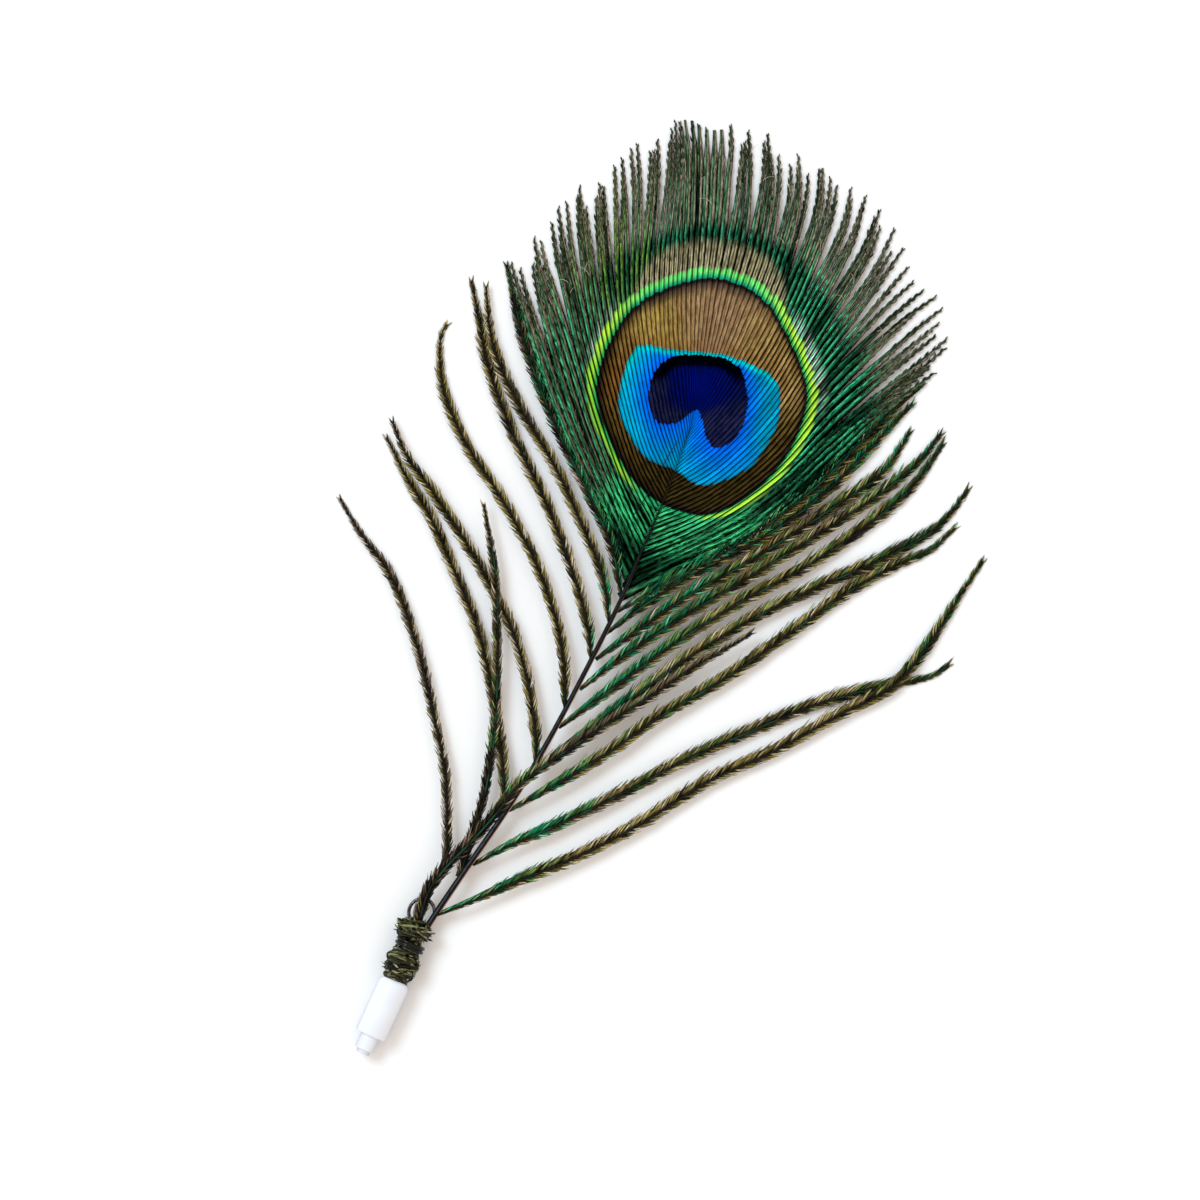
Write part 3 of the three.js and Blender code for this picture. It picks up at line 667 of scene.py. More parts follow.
def rows_colour(n, e):
    """Outside the ring: a khaki band above, black-green next, then emerald and brown rows."""
    to_left = n.both(n.rise(e.sideways, -0.35, -0.7), n.rise(e.upper, 0.85, 0.5))
    below = n.both(n.rise(e.upper, -0.3, -0.6), n.rise(e.out, 5.0, 10.0))
    low_right = n.both(
        n.rise(e.upper, -0.25, -0.6), n.rise(e.sideways, 0.25, 0.5), n.rise(e.out, 2.0, 6.0))
    right_row = n.rise(e.row, 0.4, 0.6)

    leafy = n.mix(to_left, n.tint(e.streaks, "leaf"), n.tint(e.streaks, "left_leaf"))
    bright = n.mix(
        n.rise(e.upper, 0.4, 0.85), n.tint(e.streaks, "emerald"), n.tint(e.streaks, "top_emerald"))
    bright = n.mix(e.at_shaft, bright, n.tint(e.streaks, "shaft_emerald"))
    emerald = n.mix(n.both(e.near_ring, n.rise(e.tone, 0.2, 0.7, 0.4, 1.0)), leafy, bright)
    glints = n.both(
        n.rise(e.flecks, 0.5, 0.85), n.rise(e.sideways, 0.4, 0.8), n.rise(e.out, 16.0, 9.0))
    emerald = n.mix(glints, emerald, rgb(60, 214, 140))
    yellowing = n.both(
        n.rise(e.sideways, -0.2, -0.4), n.rise(e.upper, 0.5, 0.8),
        n.rise(e.tone, 0.4, 0.75, 0.0, 0.85))
    emerald = n.mix(yellowing, emerald, n.tint(e.flecks, "yellow_green"))

    black_green = n.tint(e.streaks, "black_green")
    brown = n.mix(to_left, n.tint(e.flecks, "brown"), n.tint(e.flecks, "left_brown"))
    brown_row = n.mix(n.rise(e.tone, 0.1, 0.55), n.mix(0.3, black_green, brown), brown)
    dark_zone = n.both(e.near_ring, n.rise(to_left, 0.0, 1.0, 1.0, 0.3))
    brown_row = n.mix(dark_zone, brown_row, black_green)
    unlit = n.either(n.both(low_right, 0.3), n.both(below, 0.26))
    green_row = n.mix(n.rise(n.minus(e.tone, unlit), 0.2, 0.62), black_green, emerald)
    rows = n.mix(right_row, green_row, n.mix(e.at_shaft, brown_row, green_row))
    rows = n.mix(n.both(low_right, n.rise(e.row, 0.4, 0.6, 0.1, 0.6)), rows, rgb(3, 7, 4))
    rows = n.mix(n.both(below, n.rise(e.row, 0.4, 0.6, 0.1, 0.8)), rows, rgb(4, 10, 7))

    dry = n.rise(n.plus(e.tone, n.both(e.row, 0.35)), 0.6, 0.95)
    tips = n.mix(dry, n.tint(e.flecks, "olive_tip"), n.tint(e.flecks, "tan_tip"))
    rows = n.mix(n.both(e.fray, 0.75), rows, tips)
    leaning = n.plus(e.upper, n.both(e.sideways, 0.1))
    khaki_reach = n.rise(leaning, 0.72, 0.97, -0.8, 5.3)
    khaki_share = n.rise(n.minus(e.out, khaki_reach), 1.1, -1.7)
    rows = n.mix(khaki_share, rows, n.tint(e.streaks, "khaki"))

    silver = n.both(
        n.rise(e.upper, 0.75, 0.5), n.rise(e.upper, -0.25, 0.1), n.rise(e.sideways, 0.6, 0.85),
        n.rise(e.out, 2.9, 0.6))
    mint = n.both(
        n.rise(e.sideways, -0.6, -0.8), n.rise(e.upper, 0.1, 0.35),
        n.rise(e.out, 1.9, 0.2, 0.0, 0.8))
    pale = n.both(
        n.either(silver, mint), n.rise(e.tone, 0.35, 0.7, 0.15, 1.0),
        n.rise(e.row, 0.4, 0.6, 0.3, 1.0))
    return n.mix(pale, rows, n.tint(right_row, "silver"))


def eye_group():
    """The eye's colours. Zone holds the distances outside the bronze, blue and heart outlines.
    Eye holds how far right of the eye's centre a place lies, its place across the green ring,
    and how far above the centre it lies, where both directions run from -1 to 1."""
    n, given, handed = new_group(
        "eye_colours",
        [("Zone", "NodeSocketVector"), ("Eye", "NodeSocketVector"), ("Kind", "NodeSocketVector"),
         ("Streaks", "NodeSocketFloat"), ("Flecks", "NodeSocketFloat")],
        [("Colour", "NodeSocketColor"), ("Lustre", "NodeSocketFloat"), ("Gap", "NodeSocketFloat"),
         ("Parted", "NodeSocketFloat"), ("Slim", "NodeSocketFloat")])
    zone, eye, kind = (n.split(given[key]) for key in ("Zone", "Eye", "Kind"))
    sideways, ring, upper = eye
    out = n.minus(ring, 1.0)
    at_shaft = n.both(
        n.rise(upper, -0.45, -0.75), n.rise(sideways, 0.52, 0.28), n.rise(sideways, -0.82, -0.62))
    ring_reach = (n.rise(upper, -0.4, 0.7, 22.0, 10.5), n.rise(upper, -0.4, 0.7, 9.0, 7.0))
    near_ring = n.rise(out, *ring_reach)
    lower_left = n.both(n.rise(sideways, -0.3, -0.8), n.rise(upper, 0.5, 0.15))
    e = EyeMap(
        *zone, *eye, *kind, given["Streaks"], given["Flecks"], *heart_place(n),
        out, at_shaft, near_ring, lower_left)

    outside = n.rise(n.plus(ring, n.both(e.tone, 0.7)), 1.1, 1.65)
    colour = n.mix(outside, ring_colour(n, e), rows_colour(n, e))
    colour = n.mix(n.rise(e.bronze, -0.08, 0.12), bronze_colour(n, e), colour)
    colour = n.mix(n.rise(e.blue, -0.06, 0.06), blue_colour(n, e), colour)
    colour = n.mix(n.rise(e.heart, -0.06, 0.06), heart_colour(n, e), colour)
    n.feed(handed["Colour"], colour)
    n.feed(handed["Lustre"], n.rise(out, 4.0, 0.0))

    # Outside the ring the two rows of a barb part. Gap is how much colour is left in the dark lines
    # between the barbs, which are partly their own dark edges and partly painted shade, and Slim says
    # how thin their lit part is: least in the upper bronze.
    n.feed(handed["Parted"], n.both(n.rise(ring, 0.9, 2.0), n.rise(at_shaft, 1.0, 0.0)))
    soft = n.both(n.rise(upper, 0.5, 0.95), n.rise(e.bronze, 0.1, -0.5))
    soft = n.either(soft, n.rise(e.blue, 0.2, -0.2, 0.0, 0.62))
    ring_top = n.both(n.rise(upper, 0.5, 0.9), n.rise(ring, 1.3, 0.9, 0.01, 0.5))
    between = n.rise(lower_left, 0.0, 1.0, n.rise(upper, 0.1, 0.6, 0.18, 0.26), 0.04)
    between = n.both(between, n.rise(ring, -0.5, 0.1, 0.35, 1.0))
    between = n.either(ring_top, n.rise(ring, 1.4, 0.8, 0.01, between))
    n.feed(handed["Gap"], n.rise(soft, 0.0, 1.0, between, 0.42))
    slim = n.either(n.rise(soft, 0.6, 0.0), n.both(near_ring, 0.7))
    slim = n.mix(n.rise(ring, 1.5, 1.0), n.both(near_ring, 0.55), slim)
    slim = n.either(slim, n.both(at_shaft, n.rise(ring, 1.0, 2.0)))
    n.feed(handed["Slim"], slim)
    return n.tree


HEART_CENTRE = (697, 384)


def heart_place(n):
    """Millimetres right of and above the heart's centre, as on the sheet."""
    centre = on_sheet(HEART_CENTRE) * MM
    moved = n.add("ShaderNodeMapping", {
        "Vector": n.object_place(), "Location": (-centre[0], -centre[1], 0)})
    righted = n.add("ShaderNodeMapping", {
        "Vector": moved, "Rotation": (0, 0, -SHEET_LEAN), "Scale": (1 / MM,) * 3})
    right, above, _ = n.split(righted)
    return right, above


def vane_material(name, grain_tree, eye_tree, scales, roughness):
    """The vane: the eye's colours, darkened in the grooves between and along the barbs, partly by the
    barbs' own dark edges and partly by painted shade.
    """
    material, n, shader = new_material(name, Roughness=roughness, Specular_IOR_Level=0.0)
    streaks, flecks = grain(n, grain_tree, *scales)
    kind = n.attribute("kind")
    eye = n.group(eye_tree, {
        "Zone": n.attribute("zone"), "Eye": n.attribute("eye"), "Kind": kind,
        "Streaks": streaks, "Flecks": flecks})
    edge = n.split(n.attribute("shape"))[0]  # 0 in the middle of a barb, 1 at its two edges
    fray = n.split(kind)[2]
    parted = eye["Parted"]
    slim = eye["Slim"]
    # Painted shade, together with the barbs' dark edges: the colour darkens towards each barb's edges
    # and its middle groove.
    dark_from = n.rise(slim, 0.0, 1.0, n.rise(parted, 0.0, 1.0, 0.42, 0.66), 0.2)
    gaps = n.rise(edge, dark_from, n.rise(slim, 0.0, 1.0, 0.95, 0.8), 1.0, eye["Gap"])
    groove = n.rise(edge, 0.0, 0.24, n.rise(parted, 0.0, 1.0, 0.88, 0.16), 1.0)
    streaked = n.rise(streaks, 0.0, 1.0, n.rise(fray, 0.0, 1.0, 0.78, 0.4), 1.1)
    n.feed(shader["Base Color"], n.shaded(eye["Colour"], n.both(gaps, groove, streaked)))
    lustre = n.rise(eye["Lustre"], 0.0, 1.0, 0.45, 0.94)
    n.feed(shader["Metallic"], n.both(lustre, n.rise(edge, 0.98, 0.75)))
    n.bump(shader, flecks, 0.25, 0.06 * MM)
    return material


def herl_material(name, grain_tree, scales, laid):
    """Loose barbs: olive-gold barbules with pale edges, some grey, some shining green, each with
    painted shade on its lower edge and darker towards its base. On the laid ones, which are one body,
    the streaks draw the single barbules with painted shade between them, darker next to the quill."""
    material, n, shader = new_material(name, Roughness=0.5, Metallic=0.35, Specular_IOR_Level=0.12)
    streaks, flecks = grain(n, grain_tree, *scales)
    tone, green, dull = n.split(n.attribute("kind"))
    edge, reach, across = n.split(n.attribute("shape"))
    if laid:
        tone = n.plus(tone, n.rise(streaks, 0.0, 1.0, -0.22, 0.22))
    tone = n.plus(tone, n.rise(reach, 0.3, 1.0, -0.05, 0.18))
    gold = n.ramp(tone, [
        (0.0, rgb(16, 15, 5)), (0.25, rgb(62, 54, 20)), (0.5, rgb(132, 116, 54)),
        (0.78, rgb(194, 174, 108)), (1.0, rgb(238, 222, 182))])
    grey = n.ramp(tone, [
        (0.0, rgb(12, 9, 7)), (0.35, rgb(54, 44, 34)), (0.7, rgb(128, 108, 88)),
        (1.0, rgb(212, 194, 176))])
    emerald = n.ramp(tone, [
        (0.0, rgb(2, 44, 28)), (0.4, rgb(8, 104, 66)), (0.75, rgb(34, 170, 112)),
        (1.0, rgb(128, 232, 184))])
    lime = n.ramp(tone, [
        (0.0, rgb(22, 44, 16)), (0.5, rgb(72, 110, 44)), (1.0, rgb(168, 196, 104))])
    colour = n.mix(dull, gold, grey)
    colour = n.mix(n.rise(green, 0.05, 0.5), colour, lime)
    colour = n.mix(n.rise(green, 0.45, 0.9), colour, emerald)
    # Painted shade: each barbule is dark on its edge nearer the root, which lies under the next one.
    shade = n.rise(across, -0.9, 0.15, 0.02, 1.05)
    if laid:
        shade = n.both(n.rise(streaks, 0.2, 0.75, 0.04, 0.9), n.rise(edge, 0.15, 0.75, 0.1, 1.0))
    shade = n.both(shade, n.rise(reach, 0.04, 0.42, 0.1, 1.0), n.rise(flecks, 0.0, 1.0, 0.72, 1.12))
    n.feed(shader["Base Color"], n.shaded(colour, shade))
    n.feed(shader["Roughness"], n.rise(flecks, 0.0, 1.0, 0.38, 0.62))
    n.bump(shader, streaks, 0.3, 0.06 * MM)
    return material


def quill_material():
    """Barb quills and the hair across the eye: dark horn, with a green sheen in places."""
    material, n, shader = new_material("barb_quill", Roughness=0.4, Specular_IOR_Level=0.12)
    grain_here = n.speckle(900)
    horn = n.mix(n.rise(grain_here, 0.35, 0.7), rgb(7, 9, 7), rgb(22, 25, 20))
    sheen = n.both(n.rise(n.speckle(260, 2.0), 0.48, 0.62), n.split(n.attribute("kind"))[1])
    n.feed(shader["Base Color"], n.mix(sheen, horn, rgb(18, 84, 60)))
    return material


# ------------------------------------------------------------------ the eye's fields


def signed_distance(points, outline):
    """Distance in millimetres from sheet points to a closed outline, negative inside it."""
    a = smooth(outline, 161, closed=True)[:-1]
    b = np.roll(a, -1, axis=0)
    flat = points.reshape(-1, 2)
    nearest = np.full(len(flat), np.inf)
    inside = np.zeros(len(flat), bool)
    for start, end in zip(a, b):
        edge = end - start
        share = np.clip(((flat - start) @ edge) / (edge @ edge), 0, 1)
        gap = np.linalg.norm(flat - start - share[:, None] * edge, axis=1)
        nearest = np.minimum(nearest, gap)
        crosses = (start[1] > flat[:, 1]) != (end[1] > flat[:, 1])
        if start[1] != end[1]:
            at = start[0] + (flat[:, 1] - start[1]) / (end[1] - start[1]) * edge[0]
            inside ^= crosses & (flat[:, 0] < at)
    return (np.where(inside, -nearest, nearest) * SHEET_UNIT).reshape(points.shape[:-1])


def eye_values(points, shift, ahead):
    """The zone and eye attributes at points (..., 3). shift moves a row along its barb."""
    moved = to_sheet(points + ahead * shift[..., None])
    outlines = (BRONZE_OUTLINE, BLUE_OUTLINE, HEART_OUTLINE)
    zone = np.stack([signed_distance(moved, outline) for outline in outlines], -1)
    away = moved - EYE_CENTRE
    bearing = np.arctan2(away[..., 0], -away[..., 1])
    turns, widths = np.array(RING_WIDTHS).T
    width = np.interp(np.degrees(bearing), turns, widths)
    bronze = zone[..., 0]
    ring = np.where(bronze < width, bronze / width, 1 + bronze - width)
    return zone, np.stack([np.sin(bearing), ring, np.cos(bearing)], -1)


# ------------------------------------------------------------------ the dense vane

BARB_PITCH = 0.86  # distance between barbs across the eye
LOWEST_LEFT_PITCH = 1.4  # how many times wider it is at the vane's lower left edge
LOWER_RIGHT = [20.3, 20.6, 20.95, 21.4, 22.1, 23.0]  # the last barbs, in guide lines
LOOSE_EDGES = (0.6, 21.8)  # the barbs beyond these guide lines are loose ones
BARB_STATIONS = 61
PARTING_START = 0.56  # share of a barb's length where the wide partings open
SMALL_START = 0.66  # and the small ones
FRINGE_START = 0.74  # and where the single barbs part
WIDE_PULL = 0.42  # how much of its way to a tuft's middle a barb's tip is drawn
SMALL_PULL = 0.3
TUFT_REACH = 2.4
TIP_SWAY = 0.28
SHORTEST = 0.085  # the most that a barb is shorter than its guide lines, as a share
BARB_FILL = 0.52  # a barb's half width as a share of the distance to the next
BARB_HALF_THICKNESS = 0.2
FRINGE_HALF_WIDTH = 1.15
LEFT_EDGE_LOOK = dict(width=0.95, green=1.3, dull=0.7, shade=0.2)
RIGHT_EDGE_LOOK = dict(width=0.95, green=1.9, dull=0.15, shade=0.18)
ROOT_TUCK = 0.012  # share of a barb's length that is tucked under the shaft


def barb_numbers(guides):
    """Where the barbs lie among the guide lines, counted in guide lines."""
    ahead = unit(np.gradient(guides, axis=1))[:-1]
    across = np.diff(guides, axis=0)
    gap = np.abs(across[..., 0] * ahead[..., 1] - across[..., 1] * ahead[..., 0])
    spacing = gap[:, 6:36].mean(1)
    fine = np.linspace(0, LOWER_RIGHT[0] - 0.25, 2000)
    wide = 1 + (LOWEST_LEFT_PITCH - 1) * smoothstep(4.2, 1.0, fine)
    density = spacing[fine.astype(int)] / (BARB_PITCH * wide)
    total = np.concatenate([[0], np.cumsum(density[:-1] * np.diff(fine))])
    count = int(round(total[-1])) + 1
    return np.concatenate([np.interp(np.linspace(0, total[-1], count), total, fine), LOWER_RIGHT])


def vane_lines():
    """The barbs of the dense vane as lines (barbs, points, 3), and the distance between them."""
    guides = np.stack([smooth(on_sheet(plan), BARB_STATIONS) for plan in VANE_GUIDES])
    u = barb_numbers(guides)
    slope = np.gradient(guides, axis=0)
    k = np.clip(u.astype(int), 0, len(guides) - 2)
    s = (u - k)[:, None, None]
    flat = (2 * s**3 - 3 * s**2 + 1) * guides[k] + (s**3 - 2 * s**2 + s) * slope[k]
    flat += (3 * s**2 - 2 * s**3) * guides[k + 1] + (s**3 - s**2) * slope[k + 1]
    share = np.linspace(0, 1, BARB_STATIONS)
    pitch = neighbour_gap(flat)
    flat = gathered(flat, u, share)
    flat[:, 0] += (flat[:, 0] - flat[:, 1]) * ROOT_TUCK * BARB_STATIONS
    height = np.broadcast_to(along(VANE_HEIGHTS, share), flat.shape[:2])
    lines = np.concatenate([flat, height[..., None]], -1)
    lines, pitch = trimmed(lines, pitch, 1 - 0.7 * close_tuft(u))
    return lines, u, pitch


def neighbour_gap(flat):
    """The distance between neighbouring barbs, square to them (barbs, points)."""
    ahead = unit(np.gradient(flat, axis=1))
    across = np.gradient(flat, axis=0)
    gap = np.abs(across[..., 0] * ahead[..., 1] - across[..., 1] * ahead[..., 0])
    for _ in range(2):
        gap[1:-1] = (gap[:-2] + gap[1:-1] + gap[2:]) / 3
    return gap


def gathered(flat, u, share):
    """Draws the fringe's barbs together in wide tufts and in small ones, with partings between."""
    small = [-0.01]
    while small[-1] < u[-1]:
        after = np.searchsorted(u, small[-1]) + rng.choice([1, 1, 2, 2, 3])
        edge = (u[min(after, len(u) - 1)] + u[min(after - 1, len(u) - 1)]) / 2
        small.append(edge if after < len(u) else u[-1] + 1)
    result = flat.copy()
    calm = 1 - 0.8 * close_tuft(u)
    partings = ((WIDE_PARTINGS, PARTING_START, WIDE_PULL), (small, SMALL_START, SMALL_PULL))
    for bounds, start, strength in partings:
        tuft = np.searchsorted(bounds, u)
        pull = strength * smoothstep(start, 1.0, share)[:, None]
        for number in np.unique(tuft):
            members = tuft == number
            offset = flat[members].mean(0) - flat[members]
            offset /= np.maximum(1, np.linalg.norm(offset, axis=-1, keepdims=True) / TUFT_REACH)
            result[members] += offset * pull * calm[members, None, None]
    sway = rng.normal(0, TIP_SWAY, (len(u), 1, 1)) * smoothstep(FRINGE_START, 1.0, share)[:, None]
    across = unit(np.gradient(flat, axis=1))[..., ::-1] * (-1, 1)
    return result + across * sway * calm[:, None, None]


def close_tuft(u):
    """1 for the barbs of the close tuft at the top, 0 for the others."""
    return smoothstep(9.2, 9.8, u) * smoothstep(12.0, 11.4, u)


def trimmed(lines, pitch, share):
    """Sets each barb's length a little apart from the next one's, by a share of the most."""
    count = lines.shape[1]
    reach = 1 - SHORTEST * share * rng.uniform(0, 1, len(lines)) ** 1.3
    where = np.linspace(0, 1, count)[None] * reach[:, None] * (count - 1)
    k = np.clip(where.astype(int), 0, count - 2)
    s = where - k
    rows = np.arange(len(lines))[:, None]
    pitch = pitch[rows, k] * (1 - s) + pitch[rows, k + 1] * s
    s = s[..., None]
    return lines[rows, k] * (1 - s) + lines[rows, k + 1] * s, pitch


def barb_seed(number, row):
    """Where the grain of one row of a vane barb begins."""
    return number * 7.3 + row * 3.1


def vane_strips(lines, share, width, values):
    """The barbs' own bodies: two rows of barbules lying close, with a groove between."""
    template = barb_template(BARB_STATIONS - 1)
    fray = smoothstep(FRINGE_START - 0.04, 0.95, share) * (1 - 0.6 * values["close"])
    thick = BARB_HALF_THICKNESS * (1 - 0.4 * fray)
    thick = thick * (0.3 + 0.7 * smoothstep(-0.4, 1.2, values["bronze"]))
    places = swept(template, lines, width, thick, values["roll"])
    k = np.round(template.verts[:, 2] * (BARB_STATIONS - 1)).astype(int)
    right_side = (template.verts[:, 0] < 0).astype(int)
    ahead, left, _ = frames(lines)
    run = distances(lines)[:, k]
    row_middle = (0.5 - right_side) * width[:, k]
    middle = lines[:, k] + left[:, k] * row_middle[..., None]
    zone, eye = eye_values(middle, values["shift"][:, right_side], ahead[:, k])
    tone = values["tone"][:, right_side, k]
    kind = np.stack([np.broadcast_to(right_side, tone.shape), tone, fray[:, k]], -1)
    # A barb's underside counts as an edge, so it gets the same painted shade.
    edge = np.where(template.verts[:, 1] > -0.8, np.abs(template.verts[:, 0]), 1.0)
    shape = np.stack([np.broadcast_to(edge, tone.shape), 0 * tone, 0 * tone], -1)
    across = template.verts[:, 0] * width[:, k]
    seed = barb_seed(np.arange(len(lines))[:, None], right_side)
    # In the fringe the streaks slant outwards as the barbules do.
    lay = np.stack([across, run - 3.0 * np.abs(across) * fray[:, k], seed + 0 * run], -1)
    return template, places, dict(zone=zone, eye=eye, kind=kind, shape=shape, lay=lay)


# A barbule: a slim blade with three sides, bent between its base and its tip.
BLADE = rod_template(3, 3)


def blades(base, ahead, side, angle, length, width, lift, bend):
    """Barbules (count, verts, 3). side is 1 on the left of the barb and -1 on its right."""
    left = unit(np.cross(UP, ahead))
    start = unit(ahead * np.cos(angle)[:, None] + left * (side * np.sin(angle))[:, None])
    r = BLADE.verts[:, 2][None, :, None]
    out = base[:, None] + start[:, None] * (length[:, None, None] * r)
    out = out + (ahead - start)[:, None] * (length * bend)[:, None, None] * r**2
    out = out + UP * (lift[:, None, None] * np.sin(r * 2.2))
    flat = unit(np.cross(UP, start))
    taper = np.where(r < 0.01, 0.7, 1 - 0.88 * r**3)
    half = taper * width[:, None, None]
    out = out + flat[:, None] * (BLADE.verts[:, 0][None, :, None] * half)
    # The edge nearer the barb's tip is the higher one, so each blade overlaps the one behind.
    shingle = BLADE.verts[None, :, 0, None] * -side[:, None, None] * 0.3
    return out + UP * ((BLADE.verts[:, 1][None, :, None] * 0.4 + shingle) * half)


def blade_values(side, width, run, reach, seed):
    """The place across each barbule, 1 at the edge nearer the barb's tip, the place along it
    and its grain's lay."""
    along_blade = BLADE.verts[:, 2]
    across = BLADE.verts[None, :, 0] * -side[:, None]
    lay = np.stack([
        BLADE.verts[None, :, 0] * width[:, None],
        run[:, None] + along_blade[None] * reach[:, None],
        np.broadcast_to(seed[:, None], across.shape)], -1)
    return across, np.broadcast_to(along_blade, across.shape), lay


def jittered(count, low, high):
    """Places from 0 to 1, one in each of count equal steps, from low to high in its step."""
    return (np.arange(count) + rng.uniform(low, high, count)) / count


def footing(lines, number, where):
    """The point, the way ahead and the way left at where (0 to 1) along line number."""
    ahead = unit(sampled(frames(lines)[0], number, where))
    return sampled(lines, number, where), ahead, unit(np.cross(UP, ahead))


def sampled(values, line_number, where):
    """Values (lines, points, ...) read at where (0 to 1) along line line_number."""
    count = values.shape[1]
    at = np.clip(where * (count - 1), 0, count - 1.001)
    k = at.astype(int)
    s = at - k
    s = s.reshape(s.shape + (1,) * (values.ndim - 2))
    return values[line_number, k] * (1 - s) + values[line_number, k + 1] * s


VANE_BLADE_SPACING = 0.55
VANE_BLADE_REACH = 1.7
VANE_BLADE_WIDTH = (0.13, 0.17)
VANE_KNOT = 1.9  # in the fringe the barbules leave the barb in knots this far apart
VANE_TUFT = 1.6  # and their tone comes and goes over this distance


def vane_blades(lines, values, chosen):
    """Barbules that stand a little off the barbs of the fringe, and a few inside it."""
    length = distances(lines)[:, -1]
    spots = []
    for number in chosen:
        count = int(length[number] / VANE_BLADE_SPACING)
        for side in (1, -1):
            where = jittered(count, 0.1, 0.9)
            spots.append(np.stack([np.full(count, number), where, np.full(count, side)], -1))
    number, where, side = np.concatenate(spots).T
    number = number.astype(int)
    bronze = sampled(values["bronze"], number, where)
    close = values["close"][number, 0]
    ragged = values["ragged"][number]
    opening = 0.9 * smoothstep(FRINGE_START - 0.04, 0.86, where) * (1 - 0.8 * close)
    opening = np.maximum(opening, 0.07 + 0.5 * ragged)
    opening = opening * smoothstep(3.0 - 2.0 * ragged, 6.0 - 4.0 * ragged, bronze)
    keep = rng.uniform(0, 1, len(where)) < opening
    number, where, side, ragged = number[keep], where[keep], side[keep], ragged[keep]
    count = len(where)

    run = where * length[number]
    phase = number * 0.37 + 0.25 * side
    knotted = (np.round(run / VANE_KNOT - phase) + phase) * VANE_KNOT + rng.normal(0, 0.12, count)
    run = run + (knotted - run) * smoothstep(FRINGE_START - 0.1, FRINGE_START, where)
    where = np.clip(run / length[number], 0, 1)
    base, ahead, left = footing(lines, number, where)
    fray = smoothstep(FRINGE_START, 0.96, where)
    angle = 8 + 9 * fray + 8 * ragged + rng.normal(0, 3.5, count)
    reach = (VANE_BLADE_REACH - 0.35 * fray) * rng.uniform(0.8, 1.15, count)
    reach *= 1 - 0.5 * smoothstep(0.93, 1.0, where)
    width = rng.uniform(*VANE_BLADE_WIDTH, count) + 0.05 * fray
    lift = rng.uniform(-0.05, 0.1, count)
    spread = sampled(values["width"], number, where)
    base = base + left * (side * rng.uniform(0.25, 0.75, count) * spread)[:, None]
    base = base + UP * (0.1 + rng.uniform(0, 0.06, count))[:, None]
    bend = rng.uniform(0.1, 0.4, count)
    places = blades(base, ahead, side, np.radians(angle), reach, width, lift, bend)

    row = (side < 0).astype(int)
    shift = values["shift"][number, row]
    zone, eye = eye_values(base + ahead * (reach * 0.5)[:, None], shift, ahead)
    tone = sampled(values["tone"].reshape(-1, BARB_STATIONS), number * 2 + row, where)
    tuft = np.sin(run / VANE_TUFT * 2 * math.pi + number * 2.4 + side)
    tone = np.clip(tone + 0.15 * tuft + rng.normal(0, 0.15, count), 0, 1)
    kind = np.stack([row, tone, fray], -1)[:, None]
    across, along_blade, lay = blade_values(side, width, run, reach, barb_seed(number, row))
    # Painted shade: each barbule's edge nearer the root, which lies lower under the next one, counts
    # as the barb's dark edge.
    shape = np.stack([0.62 - 0.38 * across, along_blade, across], -1)
    return batch(
        BLADE, places, zone=zone[:, None], eye=eye[:, None], kind=kind, shape=shape, lay=lay)


WISPS = 28
WISP_RISE = 0.35  # how far they lie above the barbs
WISP_LENGTHS = (1.4, 3.2)
WISP_RADII = (0.04, 0.07)


def make_wisps(lines, materials):
    """Broken barbules that lie across the fringe, pale and very thin."""
    number = rng.integers(0, len(lines), WISPS)
    where = rng.uniform(0.7, 0.92, WISPS)
    base, ahead, left = footing(lines, number, where)
    base = base + UP * WISP_RISE
    stations = 9
    t = np.linspace(0, 1, stations)[None, :, None]
    turn = (np.radians(rng.normal(0, 40, WISPS)))[:, None, None] * (0.5 + 0.7 * t)
    reach = rng.uniform(*WISP_LENGTHS, (WISPS, 1, 1))
    points = base[:, None] + ahead[:, None] * np.cos(turn) * t * reach
    points = points + left[:, None] * np.sin(turn) * t * reach + UP * np.sin(t * math.pi) * 0.15
    template = rod_template(4, stations - 1)
    half = rng.uniform(*WISP_RADII, (WISPS, 1)) * (1 - 0.6 * t[..., 0])
    places = swept(template, points, half, half)
    tone = np.broadcast_to(rng.uniform(0.7, 1.0, (WISPS, 1)), places.shape[:2])
    kind = np.stack([tone, 0 * tone, 1 + 0 * tone], -1)
    shape = np.stack([0.5 + 0 * tone, 1 + 0 * tone, 0.5 + 0 * tone], -1)
    reach_place = template.verts[:, 2] * reach[..., 0]
    lay = np.stack([0 * tone, reach_place, tone * 90], -1)
    piece("fringe_wisps", [batch(template, places, kind=kind, shape=shape, lay=lay)],
          materials["herl"], ["eye_vane"])


